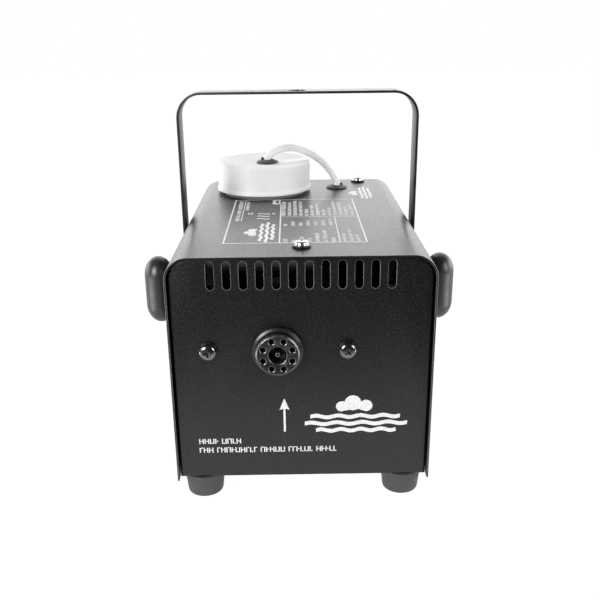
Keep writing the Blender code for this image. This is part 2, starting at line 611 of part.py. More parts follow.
def make_mains_inlet():
    """Three-pin appliance inlet, snapped into the rear panel."""
    face, x, z = CHASSIS_HALF_DEPTH + GAP, INLET_X, INLET_Z
    inlet = solid("mains_inlet", "plastic_black",
                  window_y((face, face + 3 * MM), x, z, 12 * MM, 17 * MM, 2 * MM))
    join(inlet, "shell", window_y((74 * MM, face + MM), x, z, 9.6 * MM, 13.6 * MM))
    cut(inlet, "socket", window_y((82 * MM, BEYOND), x, z, 7.8 * MM, 12 * MM, 2 * MM))
    join(inlet, "pins",
         *[window_y((80 * MM, 94 * MM), x + shift * MM, z + height * MM, 2 * MM, 1 * MM)
           for shift, height in ((-2, -7), (2, 0), (-2, 7))])


def make_switch():
    """Rocker power switch; the rocker turns about X at the middle of its opening."""
    face, x, z = CHASSIS_HALF_DEPTH + GAP, SWITCH_X, SWITCH_Z
    housing = solid("switch_housing", "plastic_black",
                    window_y((face, face + 2 * MM), x, z, 7.8 * MM, 11 * MM, 1 * MM))
    join(housing, "shell", window_y((77 * MM, face + MM), x, z, 6.5 * MM, 9.5 * MM))
    cut(housing, "opening", window_y((89 * MM, BEYOND), x, z, 5.3 * MM, 8.4 * MM))
    outline = [(-7.7, 1.2), (-7.1, -2), (-3, -4), (3, -4), (7.1, -2), (7.7, 1.2), (0, 0.3)]
    curve = bpy.data.curves.new("switch_rocker", "CURVE")
    curve.dimensions = "2D"
    curve.fill_mode = "BOTH"
    curve.extrude = 5 * MM
    spline = curve.splines.new("POLY")
    spline.points.add(len(outline) - 1)
    spline.use_cyclic_u = True
    for slot, (along, out) in zip(spline.points, outline):
        slot.co = (-along * MM, out * MM, 0, 1)
    rocker = add_part("switch_rocker", curve, "plastic_black", (x, face + MM, z))
    rocker.rotation_mode = "ZYX"
    rocker.rotation_euler = (ROCKER_REST, pi / 2, 0)


def make_fuse():
    """Panel fuse holder; its cap grips the fuse's outer end."""
    face, place = CHASSIS_HALF_DEPTH + GAP, (FUSE_X, 0, FUSE_Z)
    body_end = 68 * MM
    holder = [(0, body_end + 2 * MM), (4.7 * MM, body_end + 2 * MM), (4.7 * MM, face + 2.4 * MM),
              (7.4 * MM, face + 2.4 * MM), (8.6 * MM, face + 2 * MM), (8.6 * MM, face),
              (6.9 * MM, face), (6.9 * MM, body_end), (0, body_end)]
    turned("fuse_holder", "plastic_black", holder, place, "+Y", 16)
    base, end = face + 2.4 * MM + GAP, 103 * MM
    cap = [(0, end), (6.4 * MM, end), (7 * MM, end - 0.6 * MM), (7 * MM, base), (4.4 * MM, base),
           (4.4 * MM, 88 * MM), (2.8 * MM, 88 * MM), (2.8 * MM, 95.5 * MM), (0, 95.5 * MM)]
    cap_part = turned("fuse_cap", "plastic_black", cap, place, "+Y", 16)
    cut(cap_part, "driver_slot", window_y((end - 1.2 * MM, BEYOND), FUSE_X, FUSE_Z, 5 * MM, 0.6 * MM))
    solid("fuse", "nickel", bore_y((74 * MM, 94.5 * MM), FUSE_X, FUSE_Z, 2.5 * MM, 10))


def make_remote_socket():
    """Round three-pin socket for a wired remote."""
    face, place = CHASSIS_HALF_DEPTH + GAP, (REMOTE_X, 0, REMOTE_Z)
    shell = [(0, 88 * MM), (6.6 * MM, 88 * MM), (6.6 * MM, face + 2 * MM), (10.2 * MM, face + 2 * MM),
             (11 * MM, face + 1.2 * MM), (11 * MM, face), (8.1 * MM, face), (8.1 * MM, 80 * MM),
             (0, 80 * MM)]
    socket = turned("remote_socket", "sheet_steel", shell, place, "+Y", 18)
    pins = []
    for angle in (0, 120, 240):
        x, z = REMOTE_X + 4.4 * MM * sin(radians(angle)), REMOTE_Z - 4.4 * MM * cos(radians(angle))
        pins.append(bore_y((86 * MM, 94.5 * MM), x, z, 0.8 * MM, 6))
    join(socket, "pins", *pins)


# ---------------------------------------------------------------- yoke and knobs

def make_yoke():
    """Flat strip bent to a U, with rounded ends below the pivots."""
    half, tip = YOKE_STRIP / 2, []
    for step in range(6):
        angle = radians(80 - 16 * step)
        tip.append((PIVOT_Z - half * sin(angle), half * cos(angle)))
    path = hoop(YOKE_HALF_WIDTH, PIVOT_Z, YOKE_TOP_Z, YOKE_BEND, 8)[1:-1]
    stations = [(-YOKE_HALF_WIDTH, z, PIVOT_Y - w, PIVOT_Y + w) for z, w in tip]
    stations += [(x, z, PIVOT_Y - half, PIVOT_Y + half) for x, z in path]
    stations += [(YOKE_HALF_WIDTH, z, PIVOT_Y - w, PIVOT_Y + w) for z, w in reversed(tip)]
    mesh = strip_mesh("yoke", stations)
    pivot = Matrix.Translation((0, -PIVOT_Y, -PIVOT_Z))
    mesh.transform(pivot)
    yoke = add_part("yoke", mesh, "powder_black", (0, PIVOT_Y, PIVOT_Z))
    thicken(yoke, YOKE_THICKNESS)
    cut(yoke, "pivot_holes",
        rod((-BEYOND, PIVOT_Y, PIVOT_Z), (BEYOND, PIVOT_Y, PIVOT_Z), 3.5 * MM, 14))
    cut(yoke, "clamp_hole", bore_z((YOKE_TOP_Z - 5 * MM, BEYOND + 50 * MM), 0, PIVOT_Y, 5.2 * MM, 18))


def make_knobs():
    """Bar knobs on studs that screw into nuts behind the cover; drawn for the right side."""
    washer_x, hub_x = YOKE_HALF_WIDTH + GAP, YOKE_HALF_WIDTH + 2.2 * MM
    bar_low = Vector((KNOB_OUTER_X - KNOB_BAR.x, -KNOB_BAR.y / 2, -KNOB_BAR.z / 2))
    bar_high = Vector((KNOB_OUTER_X, KNOB_BAR.y / 2, KNOB_BAR.z / 2))
    bore_end = 84 * MM
    bore_radius = STUD_RADIUS + 0.4 * MM
    washer = [(3.4 * MM, washer_x + 1.6 * MM), (9 * MM, washer_x + 1.6 * MM), (9 * MM, washer_x),
              (3.4 * MM, washer_x)]
    nut_low, nut_high = 60.5 * MM, BODY_HALF_WIDTH - SHEET - GAP
    for side, turn, towards in (("left", pi, "-X"), ("right", 0, "+X")):
        centre = (0, PIVOT_Y, PIVOT_Z)
        seat = {"location": centre, "rotation": (0, 0, turn)}
        knob = solid(f"{side}_knob", "knob_black", box(bar_low, bar_high, 8.4 * MM, segments=3), **seat)
        join(knob, "hub", rod((hub_x, 0, 0), (bar_low.x + 6 * MM, 0, 0), KNOB_HUB_RADIUS, 18,
                              end_radius=7.5 * MM), **seat)
        cut(knob, "stud_bore", rod((hub_x - MM, 0, 0), (bore_end, 0, 0), bore_radius, 12), **seat)
        solid(f"{side}_stud", "nickel", rod((56 * MM, 0, 0), (bore_end - GAP, 0, 0), STUD_RADIUS, 12),
              **seat)
        turned(f"{side}_washer", "nickel", washer, centre, towards, 18, ring=True)
        nut = solid(f"{side}_weld_nut", "sheet_steel",
                    rod((nut_low, 0, 0), (nut_high, 0, 0), 6.5 * MM, 6), **seat)
        cut(nut, "thread", rod((nut_low - MM, 0, 0), (nut_high + MM, 0, 0), bore_radius, 12), **seat)


clear_scene()
parts = make_collection("fog_machine")
cutters = make_collection("cutters")
make_chassis()
make_cover()
make_feet()
make_body_screws()
make_nozzle()
make_heater()
make_tank()
make_cap()
make_grommet("cover_grommet", COVER_GROMMET, SHEET)
make_hoses()
make_pump()
make_electronics()
make_mains_inlet()
make_switch()
make_fuse()
make_remote_socket()
make_yoke()
make_knobs()
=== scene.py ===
"""Looks of a small fog machine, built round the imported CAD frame.  Metres, +Z up, outlet to -Y."""
import random
from math import cos, pi, radians, sin, sqrt

import bmesh
import bpy
from mathutils import Matrix, Vector


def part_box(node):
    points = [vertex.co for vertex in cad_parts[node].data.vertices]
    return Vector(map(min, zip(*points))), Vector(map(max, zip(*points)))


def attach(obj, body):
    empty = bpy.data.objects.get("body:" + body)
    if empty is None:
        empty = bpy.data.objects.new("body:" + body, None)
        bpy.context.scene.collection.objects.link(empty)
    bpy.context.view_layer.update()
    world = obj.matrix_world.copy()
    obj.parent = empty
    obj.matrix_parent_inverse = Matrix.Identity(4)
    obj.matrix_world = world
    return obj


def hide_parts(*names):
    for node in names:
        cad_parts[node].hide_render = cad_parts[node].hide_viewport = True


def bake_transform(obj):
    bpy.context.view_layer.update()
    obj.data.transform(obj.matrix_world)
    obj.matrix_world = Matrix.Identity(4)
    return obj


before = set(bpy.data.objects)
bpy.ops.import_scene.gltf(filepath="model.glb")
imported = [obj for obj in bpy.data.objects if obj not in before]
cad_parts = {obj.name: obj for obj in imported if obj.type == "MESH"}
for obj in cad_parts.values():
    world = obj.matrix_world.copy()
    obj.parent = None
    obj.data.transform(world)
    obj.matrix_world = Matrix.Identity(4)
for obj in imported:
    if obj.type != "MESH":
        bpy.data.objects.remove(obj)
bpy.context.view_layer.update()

MM = 0.001

# ------------ places, read from the frame
COVER_LOW, COVER_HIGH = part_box("cover")
CHASSIS_LOW, CHASSIS_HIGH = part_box("chassis")
YOKE_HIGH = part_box("yoke")[1]
COVER_TOP = COVER_HIGH.z
PANEL_Y = CHASSIS_LOW.y
SHEET = 1 * MM
CORNER = 12 * MM
FORWARDS = (0, -1, 0)
CORNERS = ("front_left", "front_right", "rear_left", "rear_right")
COVER_SCREWS = ("front", "rear_left", "rear_right")

# Cutters reach past the sheet that they cut: each pair is where they start and end along its axis
TOP_CUT, FLANGE_CUT, NECK_CUT = (0.13, 0.145), (0.13, 0.14), (0.13, 0.15)
CAP_CUT, FLOOR_CUT = (0.15, 0.17), (0.01, 0.016)
FRONT_CUT, REAR_CUT = (-0.1, -0.09), (0.09, 0.1)
GROMMET_HOLE = 4.7 * MM
SCREW_HOLE = 2.3 * MM


def middle(node):
    low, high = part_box(node)
    return (low + high) / 2


OUTLET = middle("nozzle_cap")
NECK = middle("tank_cap")
PIVOT = middle("left_washer")
CAP_GROMMET = middle("cap_grommet")
COVER_GROMMET = middle("cover_grommet")
CAP_LOW, CAP_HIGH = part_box("tank_cap")

HOSE_RADIUS = 2.35 * MM
HOSE_ROUTE = [      # millimetres, from the cap's grommet to the cover's
    (-19.8, 49.5, 159.0), (-19.8, 49.5, 160.2), (-19.4, 49.7, 161.2), (-17.9, 50.3, 162.9),
    (-14.8, 51.5, 164.9), (-9.9, 53.5, 166.3), (-3.3, 56.0, 166.4), (3.4, 58.7, 164.1),
    (11.2, 61.7, 160.0), (17.4, 64.2, 154.9), (22.3, 66.2, 149.0), (25.7, 67.6, 143.4),
    (26.6, 67.9, 141.1), (26.8, 68.0, 139.5), (26.8, 68.0, 137.8)]


def add_object(name, data):
    obj = bpy.data.objects.new(name, data)
    bpy.context.scene.collection.objects.link(obj)
    return obj


# ------------ camera

def make_camera():
    """Camera at the product shot's angle: 20 degrees down, very slightly turned and rolled."""
    pitch, yaw, roll = radians(19.76), radians(-0.49), radians(-0.62)
    turn = Matrix.Rotation(yaw, 3, "Z")
    forward = turn @ Vector((0, cos(pitch), -sin(pitch)))
    right = turn @ Vector((1, 0, 0))
    up = right.cross(forward)
    right_rolled = cos(roll) * right + sin(roll) * up
    up_rolled = cos(roll) * up - sin(roll) * right
    axes = Matrix((right_rolled, up_rolled, -forward)).transposed()
    data = bpy.data.cameras.new("camera")
    data.sensor_width = 36
    data.lens = 45.9
    data.clip_start = 0.01
    camera = add_object("camera", data)
    camera.matrix_world = Matrix.Translation((-0.0037, -0.4535, 0.2425)) @ axes.to_4x4()
    bpy.context.scene.camera = camera


# ------------ materials

def rgb(colour):
    """A colour as three values; one number stands for a grey."""
    return colour if isinstance(colour, tuple) else (colour,) * 3


def shader_of(skin):
    return skin.node_tree.nodes["Principled BSDF"]


def new_material(name, colour, roughness, metallic=0.0, **sockets):
    """A Principled material; keyword names are socket names with _ for spaces."""
    skin = bpy.data.materials.new(name)
    skin.use_nodes = True
    shader = shader_of(skin)
    shader.inputs["Base Color"].default_value = (*rgb(colour), 1)
    shader.inputs["Roughness"].default_value = roughness
    shader.inputs["Metallic"].default_value = metallic
    for socket, value in sockets.items():
        shader.inputs[socket.replace("_", " ")].default_value = value
    return skin


def add_node(skin, kind, **sockets):
    """A node; keyword names are socket names with _ for spaces."""
    node = skin.node_tree.nodes.new(kind)
    for socket, value in sockets.items():
        node.inputs[socket.replace("_", " ")].default_value = value
    return node


def link(skin, out_socket, in_socket):
    skin.node_tree.links.new(out_socket, in_socket)


def coordinates(skin, stretch=(1, 1, 1)):
    place = add_node(skin, "ShaderNodeTexCoord")
    mapping = add_node(skin, "ShaderNodeMapping", Scale=stretch)
    link(skin, place.outputs["Object"], mapping.inputs["Vector"])
    return mapping.outputs["Vector"]


def noise(skin, scale, detail=2.0, stretch=(1, 1, 1)):
    texture = add_node(skin, "ShaderNodeTexNoise", Scale=scale, Detail=detail)
    link(skin, coordinates(skin, stretch), texture.inputs["Vector"])
    return texture.outputs["Fac"]


def ramp(skin, factor, stops):
    """A colour ramp over (position, colour) stops."""
    node = add_node(skin, "ShaderNodeValToRGB")
    elements = node.color_ramp.elements
    while len(elements) < len(stops):
        elements.new(0.5)
    for element, (position, colour) in zip(elements, stops):
        element.position = position
        element.color = (*rgb(colour), 1)
    link(skin, factor, node.inputs["Fac"])
    return node.outputs["Color"]


def vary(skin, socket, factor, low_stop, high_stop):
    link(skin, ramp(skin, factor, [low_stop, high_stop]), shader_of(skin).inputs[socket])


def vary_colour(skin, factor, dark, light, low=0.35, high=0.65):
    vary(skin, "Base Color", factor, (low, dark), (high, light))


def vary_roughness(skin, factor, smooth, rough):
    vary(skin, "Roughness", factor, (0.3, smooth), (0.7, rough))


def bumpy(skin, *layers):
    """Stack bump layers of (height socket, strength, distance)."""
    normal = None
    for height, strength, distance in layers:
        bump = add_node(skin, "ShaderNodeBump", Strength=strength, Distance=distance)
        link(skin, height, bump.inputs["Height"])
        if normal is not None:
            link(skin, normal, bump.inputs["Normal"])
        normal = bump.outputs["Normal"]
    link(skin, normal, shader_of(skin).inputs["Normal"])


def powder_coat(name, level=0.006):
    """Black powder coat: fine sandy grain with a scatter of paler specks."""
    skin = new_material(name, level, 0.42, Specular_IOR_Level=0.5)
    grain = noise(skin, 1300, 3)
    vary_colour(skin, grain, level * 0.4, (level * 6, level * 6, level * 6.1), 0.54, 0.82)
    vary_roughness(skin, noise(skin, 900, 2), 0.30, 0.40)
    bumpy(skin, (noise(skin, 650, 2), 0.14, 0.25 * MM), (grain, 0.30, 0.08 * MM))
    return skin


def moulded_plastic(name, colour, roughness, grain=1400, strength=0.15, **sockets):
    skin = new_material(name, colour, roughness, **sockets)
    fine = noise(skin, grain, 3)
    darker, lighter = tuple(c * 0.88 for c in rgb(colour)), tuple(c * 1.1 for c in rgb(colour))
    vary_colour(skin, noise(skin, 60, 3), darker, lighter)
    vary_roughness(skin, noise(skin, 220, 3), roughness * 0.88, roughness * 1.12)
    bumpy(skin, (fine, strength, 0.06 * MM))
    return skin


def plated_metal(name, colour, smooth, rough, stretch=(1, 1, 1), grain=500):
    """Bare or plated metal with faint streaks."""
    skin = new_material(name, colour, smooth, 1.0)
    streak = noise(skin, grain, 4, stretch)
    vary_colour(skin, streak, tuple(c * 0.9 for c in rgb(colour)), colour)
    vary_roughness(skin, streak, smooth, rough)
    bumpy(skin, (streak, 0.08, 0.03 * MM))
    return skin


def black_oxide(name):
    """Dark machined steel, as on the outlet."""
    skin = new_material(name, (0.009, 0.009, 0.0095), 0.3, Specular_IOR_Level=0.5)
    vary_roughness(skin, noise(skin, 700, 3), 0.26, 0.38)
    bumpy(skin, (noise(skin, 1500, 2), 0.12, 0.04 * MM))
    return skin


def milky_plastic(name, level, roughness, shine):
    return new_material(name, level, roughness, Subsurface_Weight=0.2, Subsurface_Scale=0.002,
                        Subsurface_Radius=(1, 1, 1), Specular_IOR_Level=shine)


def polyethylene(name, glow=0.0):
    """Milky plastic. With a glow it is the tank's: a painted shade darkens it below the cover, and a
    painted glow lights its top.
    """
    skin = milky_plastic(name, 0.745, 0.7, 0.12)
    vary_roughness(skin, noise(skin, 300, 3), 0.64, 0.76)
    bumpy(skin, (noise(skin, 420, 3), 0.10, 0.10 * MM))
    if not glow:
        vary_colour(skin, noise(skin, 45, 3), 0.73, 0.76)
        return skin
    place = add_node(skin, "ShaderNodeTexCoord")
    height = add_node(skin, "ShaderNodeSeparateXYZ")
    link(skin, place.outputs["Generated"], height.inputs["Vector"])
    # Painted shade: the base colour turns dark below the cover's level; painted light: a faint white
    # emission towards the top
    vary(skin, "Base Color", height.outputs["Z"], (0.885, 0.12), (0.897, 0.745))
    vary(skin, "Emission Color", height.outputs["Z"], (0.555, 0.10), (0.59, 1.0))
    shader_of(skin).inputs["Emission Strength"].default_value = glow
    return skin


def hose_plastic(name):
    skin = milky_plastic(name, 0.70, 0.5, 0.25)
    vary_colour(skin, noise(skin, 90, 2), 0.68, 0.75)
    bumpy(skin, (noise(skin, 260, 2), 0.08, 0.15 * MM))
    return skin


def fibre_board(name):
    """Black glass-fibre matting with a criss-cross nap."""
    skin = new_material(name, 0.02, 0.92, Specular_IOR_Level=0.2)
    long_fibre = noise(skin, 300, 4, (0.25, 4, 1))
    cross_fibre = noise(skin, 300, 4, (4, 0.25, 1))
    vary_colour(skin, long_fibre, 0.014, 0.03)
    bumpy(skin, (long_fibre, 0.5, 0.4 * MM), (cross_fibre, 0.4, 0.3 * MM))
    return skin


def circuit_board(name):
    """Green solder resist over copper runs."""
    skin = new_material(name, (0.02, 0.16, 0.06), 0.35, Coat_Weight=0.4, Coat_Roughness=0.2)
    cells = add_node(skin, "ShaderNodeTexBrick", Scale=180, Mortar_Size=0.06)
    link(skin, coordinates(skin), cells.inputs["Vector"])
    vary_colour(skin, cells.outputs["Fac"], (0.018, 0.15, 0.06), (0.05, 0.30, 0.12), 0.2, 0.8)
    bumpy(skin, (cells.outputs["Fac"], 0.3, 0.05 * MM))
    return skin


def coil_tape(name):
    """Winding under black tape: the fine turns still show through it."""
    skin = new_material(name, 0.02, 0.45)
    turns = add_node(skin, "ShaderNodeTexWave", Scale=320, Distortion=0.4)
    turns.bands_direction = "Z"
    link(skin, coordinates(skin), turns.inputs["Vector"])
    vary_colour(skin, turns.outputs["Fac"], 0.013, 0.028, 0.2, 0.8)
    bumpy(skin, (turns.outputs["Fac"], 0.6, 0.2 * MM))
    return skin


def printed_ink(name):
    skin = new_material(name, 0.72, 0.55)
    vary_colour(skin, noise(skin, 1500, 2), 0.60, 0.78)
    return skin


def make_materials():
    return {
        "powder": powder_coat("powder_coat"),
        # Paler coat on the slot rims and the cover's front rim: a painted highlight
        "edge": moulded_plastic("painted_highlight_coat", 0.11, 0.35),
        "yoke": powder_coat("yoke_coat", 0.009),
        "knob": moulded_plastic("knob_plastic", (0.016, 0.016, 0.0165), 0.36, 1100, 0.12,
                                Specular_IOR_Level=0.6),
        "rubber": moulded_plastic("foot_rubber", 0.045, 0.66, 700, 0.3),
        "grommet": moulded_plastic("grommet_rubber", 0.018, 0.5, 900, 0.2),
        # Paler metal on the outlet's rims: a painted highlight
        "painted_highlight_metal": plated_metal("painted_highlight_edges", 0.20, 0.25, 0.42),
        "tank": polyethylene("tank_polyethylene"),
        # The tank's plastic, with painted shade below the cover and a painted glow at its top
        "tank_painted_shade_glow": polyethylene("tank_polyethylene_painted_shade_glow", 0.05),
        "hose": hose_plastic("hose_plastic"),
        "nickel": plated_metal("nickel_plate", (0.66, 0.65, 0.63), 0.16, 0.3),
        "screw": plated_metal("screw_plate", 0.20, 0.12, 0.24),
        "zinc": plated_metal("zinc_plate", (0.52, 0.52, 0.54), 0.3, 0.48, (0.3, 3, 1), 220),
        "cast": plated_metal("cast_aluminium", (0.55, 0.55, 0.56), 0.45, 0.62, grain=700),
        "brass": plated_metal("turned_brass", (0.22, 0.22, 0.21), 0.25, 0.4),
        "outlet": black_oxide("outlet_steel"),
        "plastic": moulded_plastic("fitting_plastic", (0.017, 0.017, 0.0175), 0.42, 900, 0.25),
        "fibre": fibre_board("insulation_fibre"),
        "board": circuit_board("circuit_board"),
        "coil": coil_tape("coil_winding"),
        "ink": printed_ink("white_ink"),
    }


# ------------ mesh helpers

def shade(mesh, smooth_angle):
    """Smooth shading, with sharp edges where the faces turn by more than the angle."""
    mesh.shade_smooth()
    mesh.set_sharp_from_angle(angle=radians(smooth_angle))


def finish_mesh(bm, name, smooth_angle=35):
    bmesh.ops.recalc_face_normals(bm, faces=bm.faces)
    mesh = bpy.data.meshes.new(name)
    bm.to_mesh(mesh)
    bm.free()
    shade(mesh, smooth_angle)
    return mesh


def add_piece(name, mesh, skin, body, nodes=()):
    """Put a finished mesh on a CAD body, in place of the CAD nodes that it stands for."""
    piece = add_object(name, mesh)
    if not any(mesh.materials):
        mesh.materials.clear()
        mesh.materials.append(skin)
    if nodes:
        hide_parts(*nodes)
    if body:
        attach(piece, body)
    return piece


def fillet(points, radius, steps=3, closed=False):
    """Round the corners of a polyline in the plane; radius is one value or a list."""
    count = len(points)
    radii = radius if isinstance(radius, (list, tuple)) else [radius] * count
    rounded = []
    for i, point in enumerate(points):
        if (not closed and i in (0, count - 1)) or not radii[i]:
            rounded.append(tuple(point))
            continue
        here, before, after = Vector(point), Vector(points[i - 1]), Vector(points[(i + 1) % count])
        back, ahead = (before - here), (after - here)
        reach = min(radii[i], back.length * 0.48, ahead.length * 0.48)
        start, end = here + back.normalized() * reach, here + ahead.normalized() * reach
        for k in range(steps + 1):
            t = k / steps
            spot = (1 - t) ** 2 * start + 2 * t * (1 - t) * here + t ** 2 * end
            rounded.append(tuple(spot))
    return rounded


def in_metres(points):
    return [(r * MM, z * MM) for r, z in points]


def lathe(bm, profile, segments, place, ring=False, radius_at=None):
    """Turn a profile of (radius, height) points about the local Z axis.

    A ring's profile is closed. radius_at(radius, height, angle) can vary the radius, for ribs."""
    rows = []
    for r, z in profile:
        if r < 1e-9:
            rows.append([bm.verts.new(place @ Vector((0, 0, z)))])
            continue
        row = []
        for k in range(segments):
            angle = 2 * pi * k / segments
            reach = radius_at(r, z, angle) if radius_at else r
            row.append(bm.verts.new(place @ Vector((reach * cos(angle), reach * sin(angle), z))))
        rows.append(row)
    pairs = list(zip(rows, rows[1:]))
    if ring:
        pairs.append((rows[-1], rows[0]))
    for upper, lower in pairs:
        for k in range(segments):
            nxt = (k + 1) % segments
            corners = [upper[k % len(upper)], lower[k % len(lower)], lower[nxt % len(lower)],
                       upper[nxt % len(upper)]]
            unique = list(dict.fromkeys(corners))
            if len(unique) > 2:
                bm.faces.new(unique)


def turned_mesh(name, profile, segments, place, ring=False, radius_at=None):
    bm = bmesh.new()
    lathe(bm, profile, segments, place, ring, radius_at)
    return finish_mesh(bm, name)


def facing(point, axis):
    """A matrix that puts local Z along the given axis at the point."""
    turn = Vector((0, 0, 1)).rotation_difference(Vector(axis)).to_matrix().to_4x4()
    return Matrix.Translation(point) @ turn


def draw_box(bm, low, high, radius=0.0, along=None, top_only=False, segments=4):
    """A box; the radius rounds all its edges, or those along one axis, or only its top ones."""
    low, high = Vector(low), Vector(high)
    size = high - low
    place = Matrix.Translation((low + high) / 2) @ Matrix.Diagonal((*size, 1))
    verts = bmesh.ops.create_cube(bm, size=1, matrix=place)["verts"]
    edges = {edge for vert in verts for edge in vert.link_edges}
    if along is not None:
        others = [axis for axis in range(3) if axis != along]
        edges = {edge for edge in edges
                 if all(abs(edge.verts[0].co[a] - edge.verts[1].co[a]) < 1e-7 for a in others)}
    if top_only:
        half = (low.z + high.z) / 2
        edges = {edge for edge in edges if min(v.co.z for v in edge.verts) > half}
    if radius:
        bmesh.ops.bevel(bm, geom=list(edges), offset=radius, segments=segments, profile=0.5,
                        affect="EDGES")


def draw_rod(bm, start, end, radius, segments=32, end_radius=None):
    start, end = Vector(start), Vector(end)
    place = facing((start + end) / 2, end - start)
    bmesh.ops.create_cone(bm, cap_ends=True, segments=segments, radius1=radius,
                          radius2=radius if end_radius is None else end_radius,
                          depth=(end - start).length, matrix=place)


def draw_slot(bm, low, high, along):
    """An obround cutter: a box whose ends are half circles."""
    size = Vector(high) - Vector(low)
    width = min(size[axis] for axis in range(3) if axis != along)
    draw_box(bm, low, high, width / 2 - 0.005 * MM, along, segments=8)


def drill(bm, spot, axis, cut, radius, segments=20):
    """A round cutter through the spot along one axis (0, 1 or 2), over the cut's two values."""
    start, end = Vector(spot), Vector(spot)
    start[axis], end[axis] = cut
    draw_rod(bm, start, end, radius, segments)


def draw_funnel(bm, bottom, top, radius, depth):
    """A shallow obround funnel that chamfers an upright slot in a face towards -Y."""
    rings, steps = [], 10
    for y, grow in ((bottom[1] - depth, 2 * depth), (bottom[1] + depth, 0.0)):
        ring = []
        for end_z, turn in ((top[2] - radius, 0.0), (bottom[2] + radius, pi)):
            for step in range(steps + 1):
                angle = turn + pi * step / steps
                ring.append(bm.verts.new((bottom[0] + (radius + grow) * cos(angle), y,
                                          end_z + (radius + grow) * sin(angle))))
        rings.append(ring)
    near, far = rings
    bm.faces.new(near[::-1])
    bm.faces.new(far)
    for a, b, c, d in zip(near, near[1:] + near[:1], far[1:] + far[:1], far):
        bm.faces.new((a, b, c, d))
    bmesh.ops.recalc_face_normals(bm, faces=bm.faces)


def solid_mesh(name, draw):
    bm = bmesh.new()
    draw(bm)
    return finish_mesh(bm, name)


def soften(obj, width, segments, angle):
    """A bevel on the edges where the faces turn by more than the angle."""
    bevel = obj.modifiers.new("edges", "BEVEL")
    bevel.width = width
    bevel.segments = segments
    bevel.limit_method = "ANGLE"
    bevel.angle_limit = radians(angle)
    bevel.harden_normals = True


def carve(name, base, cutters=(), joined=(), edge=0.25 * MM, edge_steps=2, edge_angle=38):
    """Booleans on a base mesh, then soft edges; returns the evaluated mesh.

    A tool that has a material of its own leaves it on the faces that it cuts."""
    helper = add_object(name + "_blank", base)
    tools = []
    for operation, meshes in (("UNION", joined), ("DIFFERENCE", cutters)):
        for mesh in meshes:
            tools.append(add_object(name + "_tool", mesh))
            boolean = helper.modifiers.new("shape", "BOOLEAN")
            boolean.operation = operation
            boolean.solver = "EXACT"
            boolean.material_mode = "TRANSFER"
            boolean.object = tools[-1]
    if edge:
        soften(helper, edge, edge_steps, edge_angle)
    depsgraph = bpy.context.evaluated_depsgraph_get()
    result = bpy.data.meshes.new_from_object(helper.evaluated_get(depsgraph))
    result.name = name
    for tool in (*tools, helper):
        bpy.data.objects.remove(tool)
    return result


def sweep(bm, path, radius, sides):
    """A round rod with flat ends along a dense path."""
    before, after = [path[0], *path[:-1]], [*path[1:], path[-1]]
    tangents = [(b - a).normalized() for a, b in zip(before, after)]
    side = tangents[0].orthogonal().normalized()
    rings = []
    for point, tangent in zip(path, tangents):
        side = (side - tangent * side.dot(tangent)).normalized()
        other = tangent.cross(side)
        rings.append([bm.verts.new(point + radius * (cos(angle) * side + sin(angle) * other))
                      for angle in [2 * pi * k / sides for k in range(sides)]])
    for first, second in zip(rings, rings[1:]):
        for k in range(sides):
            nxt = (k + 1) % sides
            bm.faces.new((first[k], first[nxt], second[nxt], second[k]))
    bm.faces.new(rings[0][::-1])
    bm.faces.new(rings[-1])


def smooth_route(points, spacing):
    """Evenly dense points along a Catmull-Rom curve through the given points."""
    ends = [2 * points[0] - points[1], *points, 2 * points[-1] - points[-2]]
    route = [points[0]]
    for before, start, end, after in zip(ends, ends[1:], ends[2:], ends[3:]):
        pieces = max(1, round((end - start).length / spacing))
        for i in range(1, pieces + 1):
            t = i / pieces
            route.append(0.5 * (2 * start + (end - before) * t
                                + (2 * before - 5 * start + 4 * end - after) * t ** 2
                                + (3 * start - before - 3 * end + after) * t ** 3))
    return route


# ------------ hose

def make_hose(skins):
    """The hose between the grommets."""
    path = smooth_route([Vector(p) * MM for p in HOSE_ROUTE], 1.0 * MM)
    bm = bmesh.new()
    sweep(bm, path, HOSE_RADIUS, 28)
    mesh = finish_mesh(bm, "clear_hose", 60)
    hose = add_piece("clear_hose", mesh, skins["hose"], None, ["hose"])
    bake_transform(hose)


# ------------ casing

def chassis_outline(bm, low, high, corner, bend):
    """A tray blank whose long top edges and front and rear rims are rounded."""
    draw_box(bm, low, high, corner, 1, True, 12)
    rims = [edge for edge in bm.edges
            if any(all(abs(v.co.y - end) < 1e-6 for v in edge.verts) for end in (low.y, high.y))]
    bmesh.ops.bevel(bm, geom=rims, offset=bend, segments=4, profile=0.5, affect="EDGES")


